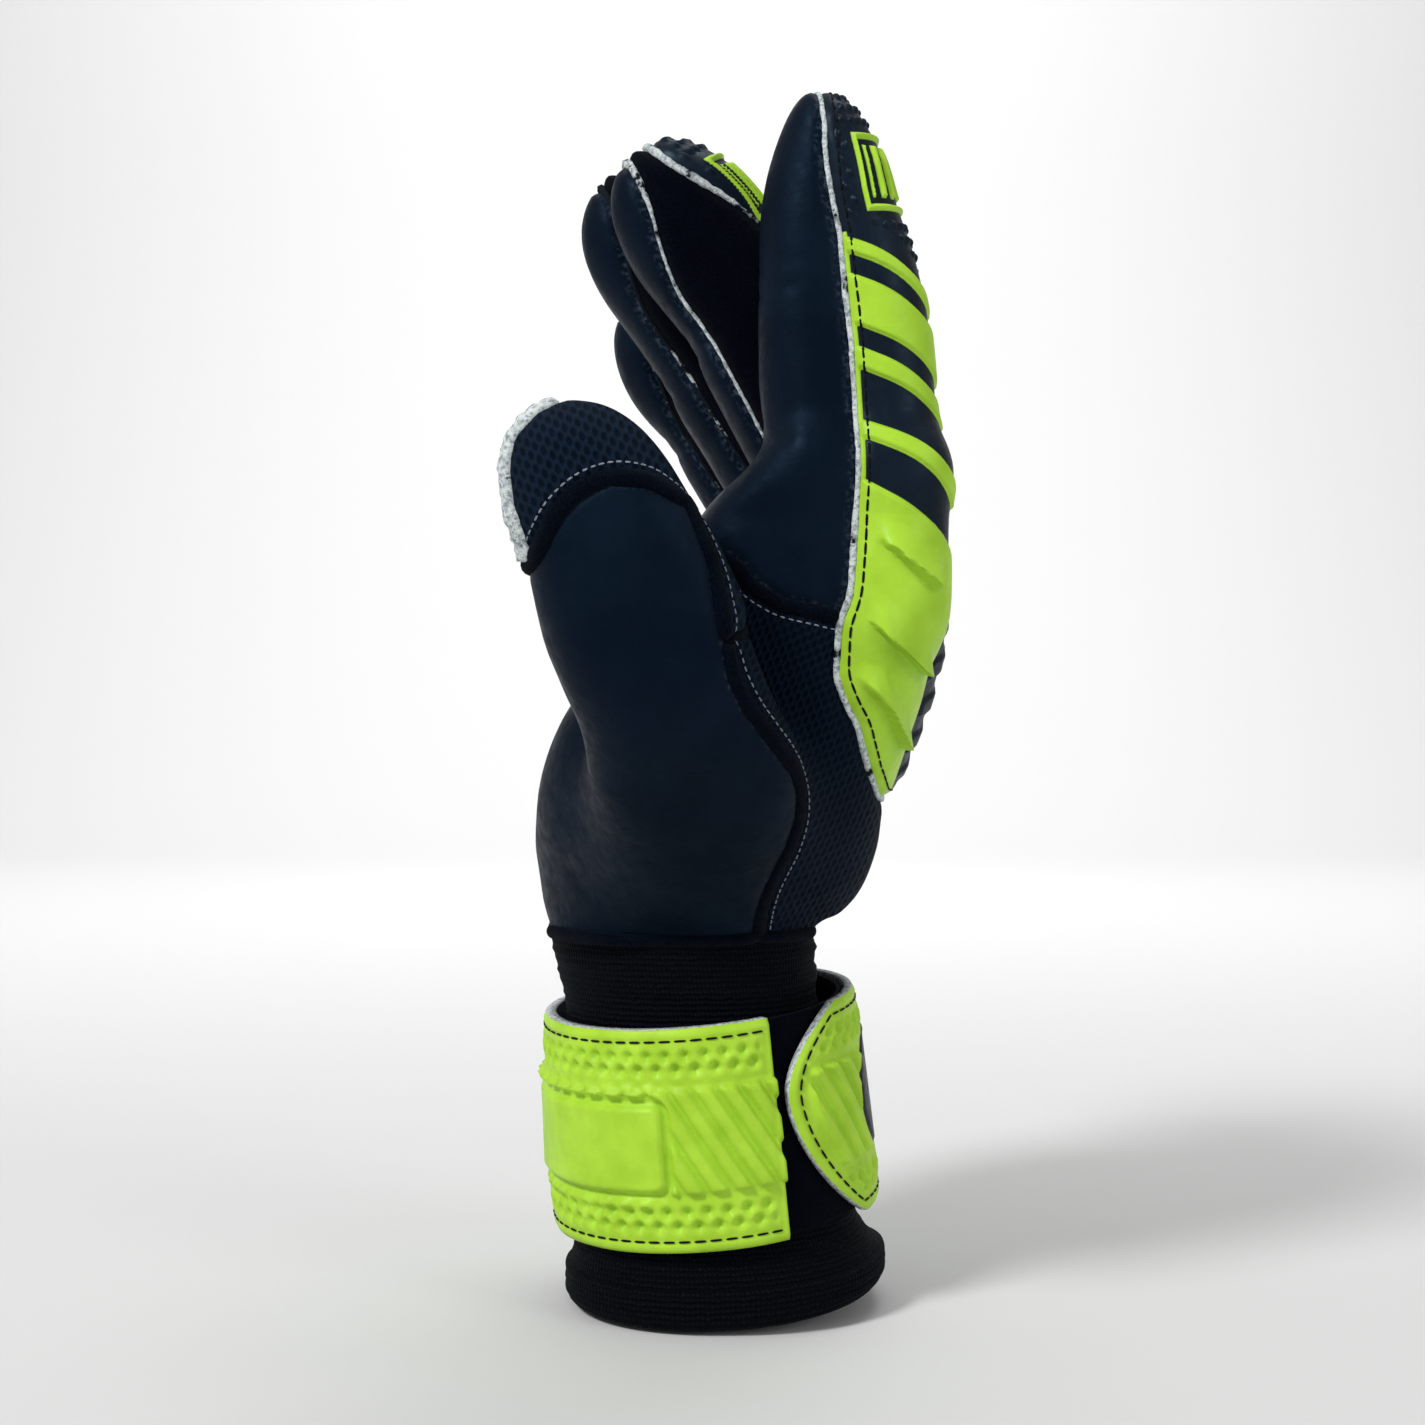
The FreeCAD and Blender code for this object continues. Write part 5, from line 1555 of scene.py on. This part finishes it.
# The inner parts keep their CAD shape.
for name, node in frame["nodes"].items():
    if node.hide_render:
        continue
    node.data.materials.clear()
    node.data.materials.append(PAD_FOAM if name == "backhand_pad" else SPINE)

# ---------------------------------------------------------------------------------------------------
# Stage, lights and camera

def build_stage():
    """A pale floor that curves up into a wall behind the glove."""
    width, curve, high = 6000.0, 900.0, 5000.0
    steps = [(-3500.0, 0.0)] + [(1500 + curve * math.sin(t), curve * (1 - math.cos(t)))
                                for t in np.linspace(0, math.pi / 2, 16)] + [(1500 + curve, high)]
    verts = [(x, y, z - 0.05) for y, z in steps for x in (-width, width)]
    faces = [[2 * i, 2 * i + 1, 2 * i + 3, 2 * i + 2] for i in range(len(steps) - 1)]
    material = bpy.data.materials.new("pale_floor")
    material.use_nodes = True
    shader = material.node_tree.nodes["Principled BSDF"]
    shader.inputs["Base Color"].default_value = (0.62, 0.62, 0.62, 1)
    shader.inputs["Roughness"].default_value = 0.9
    floor = make("stage_floor", verts, faces, material)


def area_light(name, place, aim, size, power):
    """A round soft light that points at aim."""
    light = bpy.data.lights.new(name, "AREA")
    light.shape = "DISK"
    light.size = size
    light.energy = power
    lamp = bpy.data.objects.new(name, light)
    lamp.location = place
    direction = np.array(aim) - np.array(place)
    lamp.rotation_euler = (math.acos(-direction[2] / np.linalg.norm(direction)), 0,
                           math.atan2(direction[1], direction[0]) - math.pi / 2)
    bpy.context.scene.collection.objects.link(lamp)


build_stage()
area_light("key", (-1.25, -1.30, 1.70), (0, -0.03, 0.15), 0.60, 44.0)
area_light("fill", (1.60, -1.30, 0.80), (0, -0.03, 0.14), 1.0, 9.0)
area_light("top", (0.60, 0.60, 2.40), (0, -0.03, 0.15), 0.9, 10.0)
area_light("backdrop", (0, 0.9, 1.5), (0, 2.4, 0.35), 1.2, 26.0)
world = bpy.data.worlds.new("studio")
world.use_nodes = True
world.node_tree.nodes["Background"].inputs["Color"].default_value = (1, 1, 1, 1)
world.node_tree.nodes["Background"].inputs["Strength"].default_value = 0.42
bpy.context.scene.world = world
bpy.context.scene.view_settings.view_transform = "Standard"

camera = bpy.data.cameras.new("camera")
camera.lens = 54.9
camera.sensor_width = 36.0
camera.clip_start = 0.02
camera.clip_end = 30.0
eye = bpy.data.objects.new("camera", camera)
eye.location = (-0.0029, -0.5, 0.134)
eye.rotation_euler = (math.pi / 2, 0, 0)
bpy.context.scene.collection.objects.link(eye)
bpy.context.scene.camera = eye

bpy.context.view_layer.update()
